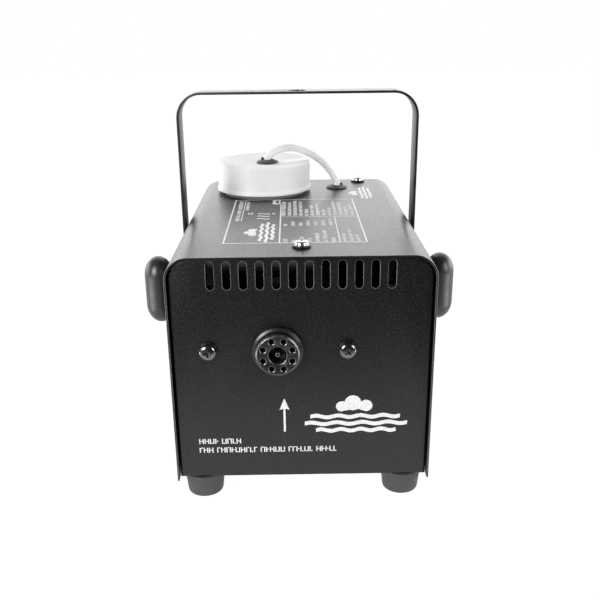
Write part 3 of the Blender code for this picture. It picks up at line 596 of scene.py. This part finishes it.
def make_chassis(skins):
    """Folded tray with the front panel's slots; their rims carry a painted highlight in a paler
    colour.
    """
    low, high = CHASSIS_LOW, CHASSIS_HIGH
    corner, inset = CORNER - 1.5 * MM, Vector((SHEET, SHEET, SHEET))
    outer_bend, inner_bend = 1.2 * MM, 0.5 * MM
    blank = solid_mesh("blank", lambda bm: chassis_outline(bm, low, high, corner, outer_bend))
    inside = solid_mesh("inside", lambda bm: chassis_outline(bm, low + inset, high - inset,
                                                             corner - SHEET, inner_bend))

    def windows(bm):
        front, rear, sill = -72 * MM, 83.5 * MM, 26 * MM
        draw_box(bm, (-0.1, front, sill), (0.1, rear, 0.2))

    def notch(bm):
        drill(bm, NECK, 2, NECK_CUT, 29 * MM, 64)

    slot_count, slot_pitch, rim_depth = 12, 8.19, 0.3 * MM
    slot_width, slot_low, slot_high = 4 * MM, 119.5 * MM, 134.3 * MM
    slot_places = [(index - (slot_count - 1) / 2) * slot_pitch * MM for index in range(slot_count)]

    def slots(bm):
        for x in slot_places:
            draw_slot(bm, (x - slot_width / 2, low.y - 5 * MM, slot_low),
                      (x + slot_width / 2, low.y + 5 * MM, slot_high), 1)

    def front_holes(bm):
        drill(bm, OUTLET, 1, FRONT_CUT, 11.4 * MM, 48)
        for side in ("left", "right"):
            drill(bm, middle(f"heater_screw_{side}"), 1, FRONT_CUT, 2.2 * MM)

    def rear_holes(bm):
        for node, half_x, half_z in (("mains_inlet", 10, 14), ("switch_housing", 6.9, 9.9)):
            spot = middle(node)
            draw_box(bm, (spot.x - half_x * MM, REAR_CUT[0], spot.z - half_z * MM),
                     (spot.x + half_x * MM, REAR_CUT[1], spot.z + half_z * MM))
        for node, radius in (("fuse_holder", 7.2 * MM), ("remote_socket", 8.5 * MM)):
            drill(bm, middle(node), 1, REAR_CUT, radius, 32)

    def screw_holes(bm):
        for place in CORNERS:
            drill(bm, middle(f"foot_{place}"), 2, FLOOR_CUT, 2.2 * MM)
        for place in COVER_SCREWS:
            drill(bm, middle(f"cover_screw_{place}"), 2, FLANGE_CUT, SCREW_HOLE)

    def slot_rims(bm):
        for x in slot_places:
            draw_funnel(bm, (x, low.y, slot_low), (x, low.y, slot_high), slot_width / 2, rim_depth)

    # The funnels leave the pale edge coat on the slot rims: a painted highlight
    rims = solid_mesh("cut", slot_rims)
    rims.materials.append(skins["edge"])
    blank.materials.append(skins["powder"])
    tools = [inside, *[solid_mesh("cut", draw) for draw in
                       (windows, notch, slots, front_holes, rear_holes, screw_holes)], rims]
    mesh = carve("chassis_shell", blank, tools, edge=0.4 * MM, edge_steps=3)
    add_piece("chassis_shell", mesh, skins["powder"], "housing", ["chassis"])


def make_cover(skins):
    """U-shaped cover, open below and at both ends, with a painted highlight in a paler colour on its
    front rim.
    """
    low, high = COVER_LOW, COVER_HIGH
    past_end = 0.01
    inside_low = low + Vector((SHEET, 0, 0)) - Vector((0, past_end, past_end))
    inside_high = high - Vector((SHEET, 0, 0)) + Vector((0, past_end, -SHEET))

    def rounded(low, high, corner):
        return solid_mesh("blank", lambda bm: draw_box(bm, low, high, corner, 1, True, 16))

    def holes(bm):
        drill(bm, NECK, 2, TOP_CUT, 28.8 * MM, 96)
        drill(bm, COVER_GROMMET, 2, TOP_CUT, GROMMET_HOLE, 32)
        for place in COVER_SCREWS:
            drill(bm, middle(f"cover_screw_{place}"), 2, TOP_CUT, SCREW_HOLE)
        for side in (-1, 1):
            drill(bm, PIVOT, 0, (side * 0.06, side * 0.075), 3.6 * MM, 32)

    tools = [rounded(inside_low, inside_high, CORNER - SHEET), solid_mesh("cut", holes)]
    mesh = carve("cover_shell", rounded(low, high, CORNER), tools, edge=0.3 * MM, edge_steps=3)
    cover = add_piece("cover_shell", mesh, skins["powder"], "housing", ["cover"])
    # Front-rim faces that turn sideways take the pale edge coat: a painted highlight
    cover.data.materials.append(skins["edge"])
    rim_depth, least_tilt = 0.35 * MM, 0.25
    for face in cover.data.polygons:
        if face.center.y < low.y + rim_depth and abs(face.normal.x) > least_tilt:
            face.material_index = 1


def make_feet(skins):
    """Tapered rubber feet, hollow below for the screw's head."""
    for corner in CORNERS:
        name = f"foot_{corner}_moulding"
        low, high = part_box(f"foot_{corner}")
        spot = (low + high) / 2
        height = (high.z - low.z) / MM
        outline = fillet([(2.3, height), (11, height), (9.6, 0), (5.5, 0), (5.5, 7), (2.3, 7)],
                         [0.1, 1.1, 1.3, 0.5, 0.4, 0.2], 4, closed=True)
        place = Matrix.Translation((spot.x, spot.y, low.z))
        mesh = turned_mesh(name, in_metres(outline), 72, place, ring=True)
        add_piece(name, mesh, skins["rubber"], "housing", [f"foot_{corner}"])


WASHER_HEIGHT = 0.9      # millimetres, of a captive washer


def screw_mesh(name, place, shank, cross_turn, head_radius=3.65, washer=False):
    """Pan head with a cross recess; local Z points out of the head, z 0 is its bearing face."""
    base = WASHER_HEIGHT if washer else 0.0
    top = base + 2.5
    arm_reach, arm_half, arm_depth, centre_depth = 2.15 * MM, 0.45 * MM, 1.6, 1.9
    points = [(0, top), (head_radius * 0.45, top - 0.06), (head_radius * 0.8, top - 0.5),
              (head_radius * 0.98, top - 1.25), (head_radius, base)]
    radii = [0, 0.6, 0.6, 0.4, 0.2]
    if washer:
        points += [(4.9, base), (4.9, 0)]
        radii += [0.25, 0.2]
    points += [(1.9, 0), (1.9, -shank), (1.2, -shank - 0.7), (0, -shank - 0.7)]
    radii += [0.1, 0.2, 0.1, 0]
    blank = turned_mesh("blank", in_metres(fillet(points, radii)), 48, place)

    def arm(angle):
        def draw(bm):
            draw_box(bm, (-arm_reach, -arm_half, (top - arm_depth) * MM),
                     (arm_reach, arm_half, 0.01))
            bmesh.ops.transform(bm, matrix=place @ Matrix.Rotation(angle, 4, "Z"), verts=bm.verts)
        return solid_mesh("cut", draw)

    def centre(bm):
        draw_rod(bm, (0, 0, (top - centre_depth) * MM), (0, 0, top * MM + 0.0005), 0.5 * MM, 20,
                 1.2 * MM)
        bmesh.ops.transform(bm, matrix=place, verts=bm.verts)

    recess = [arm(cross_turn), arm(cross_turn + pi / 2), solid_mesh("cut", centre)]
    return carve(name, blank, recess, edge=0.12 * MM, edge_angle=45)


def darken_washer(screw, spot, skins):
    """Give the captive washer's faces the dark finish of the washers on the front."""
    screw.data.materials.append(skins["outlet"])
    head_radius = 3.7 * MM
    washer_top, below_head = COVER_TOP + 1.3 * MM, COVER_TOP + WASHER_HEIGHT * MM
    for face in screw.data.polygons:
        out = (face.center - spot).xy.length
        if face.center.z < washer_top and out > head_radius or face.center.z < below_head:
            face.material_index = 1


def make_screws(skins):
    """Front screws on loose washers, and cover screws with captive ones."""
    for side, cross_turn in (("left", radians(8)), ("right", radians(45))):
        low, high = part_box(f"heater_washer_{side}")
        spot = (low + high) / 2
        ring = in_metres(fillet([(2.1, 0.8), (5, 0.8), (5, 0), (2.1, 0)], 0.2, closed=True))
        name = f"washer_{side}_disc"
        mesh = turned_mesh(name, ring, 64, facing((spot.x, high.y, spot.z), FORWARDS), ring=True)
        add_piece(name, mesh, skins["outlet"], "housing",
                  [f"heater_washer_{side}"])
        name = f"heater_screw_{side}_detail"
        place = facing((spot.x, low.y - 0.3 * MM, spot.z), FORWARDS)
        mesh = screw_mesh(name, place, 6, cross_turn, head_radius=4.4)
        add_piece(name, mesh, skins["screw"], "housing", [f"heater_screw_{side}"])
    for position, cross_turn in zip(COVER_SCREWS, (0.1, 0.9, 0.4)):
        spot = middle(f"cover_screw_{position}")
        name = f"cover_screw_{position}_detail"
        place = Matrix.Translation((spot.x, spot.y, COVER_TOP + 0.3 * MM))
        mesh = screw_mesh(name, place, 7, cross_turn, washer=True)
        screw = add_piece(name, mesh, skins["nickel"], "housing",
                          [f"cover_screw_{position}"])
        darken_washer(screw, spot, skins)


# ------------ outlet

def make_outlet(skins):
    """Dark outlet with eight holes round its bore; its front rim and hole edges carry a painted
    highlight in a paler metal.
    """
    place = facing((OUTLET.x, PANEL_Y, OUTLET.z), FORWARDS)
    bore, ring_radius, hole_radius, chamfer = 4.6, 8.0, 1.5, 0.6
    points = [(bore, 7.5), (10.4, 7.5), (11.3, 6.6), (11.4, 3.1), (13, 2.4), (13, 0.3), (11, 0.3),
              (11, -8), (7, -8), (7, -1.5), (1.8, -1.5), (1.8, 0), (bore, 0)]
    radii = [0.1, 0.25, 0.3, 0.3, 0.25, 0.2, 0.1, 0.2, 0.2, 0.2, 0.1, 0.1, 0.2]
    profile = in_metres(fillet(points, radii, 4, closed=True))
    blank = turned_mesh("blank", profile, 96, place, ring=True)
    holes = [(ring_radius * cos(radians(angle)), ring_radius * sin(radians(angle)), hole_radius)
             for angle in range(22, 382, 45)]

    def outward(bm, spots, bottom, top, segments, grow):
        for x, y, radius in spots:
            draw_rod(bm, (x * MM, y * MM, bottom * MM), (x * MM, y * MM, top * MM), radius * MM,
                     segments, (radius + grow) * MM)
        bmesh.ops.transform(bm, matrix=place, verts=bm.verts)

    bores = solid_mesh("cut", lambda bm: outward(bm, holes, 3.5, 9, 28, 0))
    # The chamfer cutters leave the paler metal on the hole and bore rims: a painted highlight
    rims = solid_mesh("cut", lambda bm: outward(bm, [*holes, (0, 0, bore)], 7.2, 7.8, 48, chamfer))
    rims.materials.append(skins["painted_highlight_metal"])
    blank.materials.append(skins["outlet"])
    mesh = carve("nozzle_cap_detail", blank, [bores, rims], edge=0)
    outlet = add_piece("nozzle_cap_detail", mesh, skins["outlet"], "housing",
                       ["nozzle_cap"])
    # The outer front faces of the rim also take the paler metal: a painted highlight
    painted_highlight_metal = outlet.data.materials.find("painted_highlight_edges")
    rim_radius, rim_y = 10.3 * MM, PANEL_Y - 6.4 * MM
    for face in outlet.data.polygons:
        if (face.center - OUTLET).xz.length > rim_radius and face.center.y < rim_y:
            face.material_index = painted_highlight_metal
    points = [(0.5, 6.0), (0.5, 6.2), (1.2, 6.2), (1.55, 5.5), (1.55, -1), (5, -1), (5, -6),
              (0.5, -6)]
    jet = in_metres(fillet(points, 0.15, closed=True))
    mesh = turned_mesh("nozzle_tip_detail", jet, 40, place, ring=True)
    add_piece("nozzle_tip_detail", mesh, skins["brass"], "housing", ["nozzle_tip"])


# ------------ cap and grommets

def make_cap(skins):
    """White screw cap: fine upright ribs, rounded shoulder, flared lip, shallow dish on top."""
    low, high = CAP_LOW.z / MM + 0.2, CAP_HIGH.z / MM
    body, lip, inner = 30.7, 31.4, 29.0
    rib_count, rib_depth, rib_fade = 130, 0.12 * MM, 0.4
    rib_low, rib_high = low + 4.2, high - 2.2
    points = [(0, high - 0.3), (25.2, high - 0.3), (26.0, high), (body, high), (body, low + 2.8),
              (lip, low + 1.6), (lip, low), (inner, low), (inner, high - 2), (0, high - 2)]
    radii = [0, 0.7, 0.7, 1.5, 1.2, 0.7, 0.5, 0.3, 0.5, 0]
    outline = fillet(points, radii, 5)
    profile = []
    for (r, z), (next_r, next_z) in zip(outline, outline[1:]):
        profile.append((r * MM, z * MM))
        if abs(r - body) < 0.01 and abs(next_r - body) < 0.01 and z - next_z > 5:
            for level in (rib_high + rib_fade, rib_high, rib_low, rib_low - rib_fade):
                profile.append((body * MM, level * MM))
    profile += in_metres(outline[-1:])

    def ribbed(r, z, angle):
        if abs(r - body * MM) > 1e-6 or not rib_low * MM - 1e-6 <= z <= rib_high * MM + 1e-6:
            return r
        return r + rib_depth * cos(rib_count * angle)

    blank = turned_mesh("blank", profile, rib_count * 6, Matrix.Translation((NECK.x, NECK.y, 0)),
                        radius_at=ribbed)
    hole = solid_mesh("cut", lambda bm: drill(bm, CAP_GROMMET, 2, CAP_CUT, GROMMET_HOLE, 32))
    mesh = carve("tank_cap_moulding", blank, [hole], edge=0)
    shade(mesh, 50)
    add_piece("tank_cap_moulding", mesh, skins["tank"], "cap", ["tank_cap"])


def make_grommet(node, top, plate, nub_side, body, skins):
    """Conical rubber collar round the hose, with the small nub of its moulding at one side."""
    spot, name, inner = middle(node), f"{node}_moulding", -plate - 0.3
    face = Vector((spot.x, spot.y, top))
    points = [(2.75, 2.2), (3.5, 2.2), (4.6, 1.9), (7.0, 0.9), (7.1, 0.3), (4.25, 0.3),
              (4.25, inner), (6.4, inner), (5.6, inner - 2), (2.75, inner - 2)]
    radii = [0.3, 0.35, 0.6, 0.4, 0.25, 0.1, 0.1, 0.4, 0.4, 0.2]
    bm = bmesh.new()
    profile = in_metres(fillet(points, radii, 4, closed=True))
    lathe(bm, profile, 64, Matrix.Translation(face), ring=True)
    nub = face + Vector((nub_side * 3.2, 0, 2.7)) * MM
    bmesh.ops.create_uvsphere(bm, u_segments=20, v_segments=12, radius=0.9 * MM,
                              matrix=Matrix.Translation(nub))
    add_piece(name, finish_mesh(bm, name), skins["grommet"], body, [node])


# ------------ yoke and knobs

def hoop(half_width, top_z, radius, steps):
    """The two bends of an upside-down U in the XZ plane, from the left leg to the right."""
    points = []
    for centre_x, start in ((-half_width + radius, pi), (half_width - radius, pi / 2)):
        for i in range(steps + 1):
            angle = start - pi / 2 * i / steps
            points.append((centre_x + radius * cos(angle), top_z - radius + radius * sin(angle)))
    return points


def make_yoke(skins):
    """Flat strip with round ends below the pivots and softened edges."""
    half, width = 8 * MM, YOKE_HIGH.x
    thickness, bend, tip_steps = 1.4 * MM, 14.5 * MM, 12
    tip_angles = [radians(86 * (1 - k / tip_steps)) for k in range(tip_steps + 1)]
    tip = [(PIVOT.z - half * sin(a), half * cos(a)) for a in tip_angles]
    path = hoop(width, YOKE_HIGH.z, bend, 16)
    stations = [(-width, z, w) for z, w in tip] + [(x, z, half) for x, z in path]
    stations += [(width, z, w) for z, w in reversed(tip)]
    bm = bmesh.new()
    rows = [(bm.verts.new((x, PIVOT.y - w, z)), bm.verts.new((x, PIVOT.y + w, z)))
            for x, z, w in stations]
    for (low, high), (next_low, next_high) in zip(rows, rows[1:]):
        bm.faces.new((low, next_low, next_high, high))
    mesh = bpy.data.meshes.new("strip")
    bm.to_mesh(mesh)
    bm.free()
    strip = add_object("strip", mesh)
    sheet = strip.modifiers.new("sheet", "SOLIDIFY")
    sheet.thickness = thickness
    sheet.offset = -1
    sheet.use_even_offset = True
    depsgraph = bpy.context.evaluated_depsgraph_get()
    blank = bpy.data.meshes.new_from_object(strip.evaluated_get(depsgraph))
    bpy.data.objects.remove(strip)

    def holes(bm):
        drill(bm, PIVOT, 0, (-0.08, 0.08), 3.5 * MM, 32)
        drill(bm, (0, PIVOT.y, 0), 2, (0.2, 0.21), 5.2 * MM, 40)

    mesh = carve("yoke_strap", blank, [solid_mesh("cut", holes)], edge=0.4 * MM, edge_steps=3)
    shade(mesh, 40)
    add_piece("yoke_strap", mesh, skins["yoke"], "yoke", ["yoke"])


def make_knobs(skins):
    """Bar knobs: an upright bar with rounded ends on a tapered hub."""
    half_height, radius, end, end_steps = 21.5, 9.0, 12.0, 16
    straight = half_height - end
    angles = [pi / 2 * k / end_steps for k in range(end_steps + 1)]
    profile = [(radius * sin(a), straight + end * cos(a)) for a in angles]
    profile += [(radius, straight * (1 - k / 4)) for k in range(1, 8)]
    profile += [(radius * sin(a), -straight - end * cos(a)) for a in reversed(angles)]
    for side, sign in (("left", -1), ("right", 1)):
        low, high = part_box(f"{side}_knob")
        inner, outer = sorted((abs(low.x), abs(high.x)))
        place = Matrix.Translation((sign * (outer - radius * MM), PIVOT.y, PIVOT.z))
        bar = turned_mesh("bar", in_metres(profile), 64, place)
        reach = (outer - radius * MM - inner) / MM
        points = [(0, reach), (7.0, reach), (7.4, 7), (9.4, 3.2), (10, 2.4), (10, 0), (0, 0)]
        outline = in_metres(fillet(points, [0, 0.2, 2, 1.2, 0.5, 0.5, 0], 4))
        place = facing((sign * inner, PIVOT.y, PIVOT.z), (sign, 0, 0))
        hub = turned_mesh("hub", outline, 64, place)
        cut = (sign * 0.06, sign * 0.084)
        bore = solid_mesh("cut", lambda bm: drill(bm, PIVOT, 0, cut, 3.4 * MM, 32))
        mesh = carve(f"{side}_knob_grip", bar, [bore], [hub], edge=0)
        shade(mesh, 40)
        add_piece(f"{side}_knob_grip", mesh, skins["knob"], f"{side}_knob",
                  [f"{side}_knob"])


# ------------ print

INK = 0.04 * MM


class Print:
    """Flat printed shapes on one face, drawn in millimetres along two directions."""

    def __init__(self, origin, along, up, normal):
        self.bm = bmesh.new()
        self.origin = Vector(origin)
        self.along, self.up, self.normal = Vector(along), Vector(up), Vector(normal)

    def polygon(self, points):
        base = [self.origin + self.along * u * MM + self.up * v * MM for u, v in points]
        lower = [self.bm.verts.new(p - self.normal * 0.02 * MM) for p in base]
        upper = [self.bm.verts.new(p + self.normal * INK) for p in base]
        self.bm.faces.new(upper)
        self.bm.faces.new(lower[::-1])
        count = len(points)
        for i in range(count):
            j = (i + 1) % count
            self.bm.faces.new((lower[i], lower[j], upper[j], upper[i]))

    def bar(self, u0, v0, u1, v1):
        self.polygon([(u0, v0), (u1, v0), (u1, v1), (u0, v1)])

    def frame(self, u0, v0, u1, v1, line):
        self.bar(u0, v0, u1, v0 + line)
        self.bar(u0, v1 - line, u1, v1)
        self.bar(u0, v0 + line, u0 + line, v1 - line)
        self.bar(u1 - line, v0 + line, u1, v1 - line)

    def wave(self, u0, u1, v, thickness, height, turns, steps=48):
        """A wavy band."""
        along = [u0 + (u1 - u0) * k / steps for k in range(steps + 1)]
        rise = [height * sin(2 * pi * turns * k / steps) for k in range(steps + 1)]
        for start, end, rise_0, rise_1 in zip(along, along[1:], rise, rise[1:]):
            self.polygon([(start, v + rise_0), (end, v + rise_1),
                          (end, v + rise_1 + thickness), (start, v + rise_0 + thickness)])

    def line_of_text(self, u, v, length, height, draw):
        """Dummy text along the line: upright strokes and loose dots, which spell nothing."""
        position = 0.0
        while position < length:
            for _ in range(draw.randint(3, 9)):
                if position + 0.9 * height > length:
                    return
                left = u + position
                self.bar(left, v, left + 0.2 * height, v + height)
                dot = v + height * draw.choice((0.0, 0.42, 0.84))
                self.bar(left + 0.27 * height, dot, left + 0.54 * height, dot + 0.2 * height)
                if draw.random() < 0.5:
                    self.bar(left + 0.61 * height, v, left + 0.81 * height, v + height)
                    position += 0.24 * height
                position += 0.7 * height
            position += 0.5 * height

    def finish(self, name, skin):
        add_piece(name, finish_mesh(self.bm, name, 20), skin, "housing")


def cloud_outline(scale, centre_u, base_v):
    """A generic cloud: the outer edge of three discs over a flat base, as seen from inside."""
    steps = 72
    discs = [(-8.5, 3.6, 3.6), (-1.5, 6.0, 5.2), (6.8, 4.0, 4.0)]
    eye_u, eye_v = 0.0, 2.5
    outline = []
    for k in range(steps):
        angle = 2 * pi * k / steps
        du, dv = cos(angle), sin(angle)
        reach = 0.0
        for cu, cv, radius in discs:
            ou, ov = cu - eye_u, cv - eye_v
            along = ou * du + ov * dv
            inside = radius ** 2 - (ou ** 2 + ov ** 2 - along ** 2)
            if inside > 0:
                reach = max(reach, along + sqrt(inside))
        if dv < 0:
            reach = min(max(reach, 0.5), -eye_v / dv) if -eye_v / dv < 12 else reach
        outline.append((centre_u + scale * (eye_u + reach * du),
                        base_v + scale * (eye_v + reach * dv)))
    return outline


def fog_symbol(sheet, u, v, width):
    """A cloud over three bands of drifting fog; a generic mark in place of any maker's own."""
    scale = width / 55
    for row, (inset, length) in enumerate(((3, 48), (0, 55), (6, 43))):
        start, level = u + inset * scale, v + (8.2 - 4.1 * row) * scale
        sheet.wave(start, start + length * scale, level, 2.3 * scale, 0.55 * scale, 4)
    sheet.polygon(cloud_outline(0.85 * scale, u + 27 * scale, v + 12.2 * scale))


def make_front_print(skins):
    """Up arrow, the fog symbol and two lines of dummy text."""
    draw = random.Random(4)
    sheet = Print((0, PANEL_Y, COVER_LOW.z), (1, 0, 0), (0, 0, 1), (0, -1, 0))
    u, base, shoulder, barb, tip = -9.4, 27.9, 41.5, 40.9, 47.5
    half_shaft, half_head = 0.55, 2.6
    sheet.polygon([(u - half_shaft, base), (u + half_shaft, base), (u + half_shaft, shoulder),
                   (u + half_head, barb), (u, tip), (u - half_head, barb),
                   (u - half_shaft, shoulder)])
    fog_symbol(sheet, 1.2, 27.4, 54)
    sheet.line_of_text(-55, 21.2, 23.0, 3.0, draw)
    sheet.line_of_text(-55, 15.9, 75.7, 3.0, draw)
    sheet.finish("front_print", skins["ink"])


def make_top_print(skins):
    """White-ruled panel with columns of dummy text and the same fog symbol, on the cover."""
    draw = random.Random(11)
    face = (0, 0, COVER_TOP)
    sheet = Print(face, (1, 0, 0), (0, 1, 0), (0, 0, 1))
    left, right, low, high, line = -40.2, 34.9, -72.8, 31.6, 0.8
    divide, cross, second = -11.2, -16.2, 20.4
    sheet.frame(left, low, right, high, line)
    sheet.bar(divide, low + line, divide + line, high - line)
    sheet.bar(divide + line, cross, right - line, cross + 0.5)
    sheet.bar(second, low + line, second + 0.6, cross)
    sheet.frame(-16.2, 18.2, -10.2, high - line, 2.1)
    sheet.bar(-33.6, -25, -33.1, 28.5)
    sheet.frame(-30.2, -8.6, -27.4, -4.6, 0.6)
    sheet.bar(-15.8, -8.4, -14.3, -6.0)
    for k in range(3):
        sheet.wave(-24.4, -17.2, -20.5 + 6.3 * k, 1.6, 0.9, 1, 16)
    sheet.finish("top_panel_print", skins["ink"])

    # Turned a quarter to the left, so that it reads from the front of the cover to the rear
    turned = Print(face, (0, 1, 0), (-1, 0, 0), (0, 0, 1))
    cells = ((8.0, 3.4, -13.2, (39, 36, 41, 40, 20, 28, 35, 17, 21, 40, 38, 24, 30)),
             (6.8, 4.25, -37.2, (6.5, 11.5, 10.5, 13, 13, 13, 17)),
             (6.6, 4.2, -71.2, (8, 6, 12, 8, 19, 26, 9)),
             (-24.3, 3.6, -71.2, (17, 26, 15)))
    for first, pitch, start, lengths in cells:
        for index, length in enumerate(lengths):
            turned.line_of_text(start, first - index * pitch, length, 2.0, draw)
    turned.line_of_text(-25, 34.6, 53.5, 2.3, draw)
    turned.line_of_text(2.5, 30.4, 24.5, 1.9, draw)
    fog_symbol(turned, -70.5, 13.8, 42)
    fog_symbol(turned, 31, -48.2, 38)
    turned.finish("top_column_print", skins["ink"])


# ------------ carried-over CAD nodes

# Material, bevel in millimetres, and the nodes that get them
CARRIED = [
    ("tank_painted_shade_glow", 0, ["tank"]),
    ("rubber", 0.3, ["tank_pad"]), ("rubber", 0, ["cap_seal"]),
    ("hose", 0, ["pickup_tube", "pump_inlet_hose", "pump_outlet_tube"]),
    ("plastic", 0, ["intake_filter", "pump_body", "relay"]),
    ("plastic", 0.3, ["board_tray", "switch_housing", "fuse_holder"]),
    ("plastic", 0.35, ["mains_inlet"]),
    ("knob", 0.4, ["switch_rocker"]), ("knob", 0.3, ["fuse_cap"]),
    ("coil", 0, ["pump_coil"]), ("cast", 0, ["heater_body"]), ("outlet", 0, ["thermostat"]),
    ("fibre", 0.6, ["insulation"]),
    ("board", 0.1, ["control_board"]), ("board", 0.3, ["terminal_block"]),
    ("zinc", 0, ["pump_piston"]), ("zinc", 0.15, ["pump_bracket", "heater_bracket"]),
    ("zinc", 0.2, ["remote_socket"]), ("zinc", 0.4, ["left_weld_nut", "right_weld_nut"]),
    ("zinc", 0.3, ["cartridge_heater_left", "cartridge_heater_right"]),
    ("nickel", 0.2, ["fuse", "left_washer", "right_washer"]),
    ("nickel", 0.2, [f"foot_screw_{corner}" for corner in CORNERS]),
    ("nickel", 0.3, ["left_stud", "right_stud"]),
]


def dress_carried_nodes(skins):
    """CAD nodes that stay: each gets its material and, where it has crisp edges, a soft bevel."""
    for skin, edge, nodes in CARRIED:
        for obj in [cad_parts[node] for node in nodes]:
            obj.data.materials.clear()
            obj.data.materials.append(skins[skin])
            if edge:
                soften(obj, edge * MM, 2, 40)


# ------------ stage

FLOOR_COLOUR = 0.05
FLOOR_SEEN = 0.985
FLOOR_GLOW = (-0.38, -0.13, 0.0, 1.05)     # along Y: from, to, low, high
BACKDROP = (-0.05, 0.85, 0.06, 2.45)       # along the Y of the direction: from, to, low, high
SOFTBOXES = [      # name, place, target, width, height, power
    ("overhead", (0, 0.25, 0.95), (0, 0.05, 0), 1.1, 0.9, 0.8),
    ("front_left", (-0.66, -0.90, 0.42), (0, 0, 0.12), 0.45, 0.5, 12),
    ("front_right", (0.80, -0.62, 0.40), (0, 0, 0.12), 0.4, 0.5, 5),
    ("side_left", (-0.95, 0.20, 0.26), (0, 0, 0.1), 0.8, 0.5, 4),
    ("side_right", (0.95, 0.20, 0.26), (0, 0, 0.1), 0.8, 0.5, 5),
]

# Bright cards on the floor beside the knobs
CARD_PLACE, CARD_SIZE, CARD_HEIGHT = (0.30, -0.10), (0.20, 0.15), 0.004
CARDS = [("card_left", -1, 0.5), ("card_right", 1, 0.4)]      # name, side, power


def area_light(name, place, target, width, height, power):
    data = bpy.data.lights.new(name, "AREA")
    data.shape = "RECTANGLE"
    data.size, data.size_y = width, height
    data.energy = power
    light = add_object(name, data)
    light.location = place
    light.rotation_euler = (Vector(target) - Vector(place)).to_track_quat("-Z", "Y").to_euler()


def seen_or_lit(tree, seen, lit):
    """One value for what the camera sees directly, and a socket for lights and reflections."""
    path = tree.nodes.new("ShaderNodeLightPath")
    mix = tree.nodes.new("ShaderNodeMix")
    mix.inputs["B"].default_value = seen
    tree.links.new(path.outputs["Is Camera Ray"], mix.inputs["Factor"])
    tree.links.new(lit, mix.inputs["A"])
    return mix.outputs["Result"]


def ramp_along(tree, source, axis, start, end, low, high):
    """A value that rises smoothly from low to high along one axis of the source coordinates."""
    place, split = tree.nodes.new("ShaderNodeTexCoord"), tree.nodes.new("ShaderNodeSeparateXYZ")
    rise = tree.nodes.new("ShaderNodeMapRange")
    rise.interpolation_type = "SMOOTHSTEP"
    sockets = ("From Min", "From Max", "To Min", "To Max")
    for socket, value in zip(sockets, (start, end, low, high)):
        rise.inputs[socket].default_value = value
    tree.links.new(place.outputs[source], split.inputs["Vector"])
    tree.links.new(split.outputs[axis], rise.inputs["Value"])
    return rise.outputs["Result"]


def make_floor():
    """White paper, evenly bright to the eye; its glow fades forwards, as the panel reflects it."""
    bm = bmesh.new()
    bmesh.ops.create_grid(bm, x_segments=2, y_segments=2, size=4)
    floor = add_object("floor", finish_mesh(bm, "floor"))
    paper = new_material("floor_paper", FLOOR_COLOUR, 0.9, Specular_IOR_Level=0.0)
    shader_of(paper).inputs["Emission Color"].default_value = (1, 1, 1, 1)
    glow = ramp_along(paper.node_tree, "Object", "Y", *FLOOR_GLOW)
    strength = seen_or_lit(paper.node_tree, FLOOR_SEEN, glow)
    link(paper, strength, shader_of(paper).inputs["Emission Strength"])
    floor.data.materials.append(paper)


def make_world():
    """White to the eye; it lights the object mostly from behind, as a bright backdrop does."""
    world = bpy.data.worlds.new("studio")
    bpy.context.scene.world = world
    world.use_nodes = True
    tree = world.node_tree
    lit = ramp_along(tree, "Generated", "Y", *BACKDROP)
    tree.links.new(seen_or_lit(tree, 1.0, lit), tree.nodes["Background"].inputs["Strength"])
    tree.nodes["Background"].inputs["Color"].default_value = (1, 1, 1, 1)


def make_stage():
    """White floor and surround, softboxes above, in front and at the sides, two floor cards."""
    make_floor()
    make_world()
    for name, place, target, width, height, power in SOFTBOXES:
        area_light(name, place, target, width, height, power)
    for name, side, power in CARDS:
        x, y = side * CARD_PLACE[0], CARD_PLACE[1]
        area_light(name, (x, y, CARD_HEIGHT), (x, y, 1), *CARD_SIZE, power)
    bpy.context.scene.view_settings.view_transform = "Standard"


make_camera()
skins = make_materials()
make_hose(skins)
make_chassis(skins)
make_cover(skins)
make_feet(skins)
make_screws(skins)
make_outlet(skins)
make_cap(skins)
make_grommet("cap_grommet", CAP_HIGH.z, 2, -1, "cap", skins)
make_grommet("cover_grommet", COVER_TOP, 1, 1, "housing", skins)
make_yoke(skins)
make_knobs(skins)
make_front_print(skins)
make_top_print(skins)
dress_carried_nodes(skins)
make_stage()
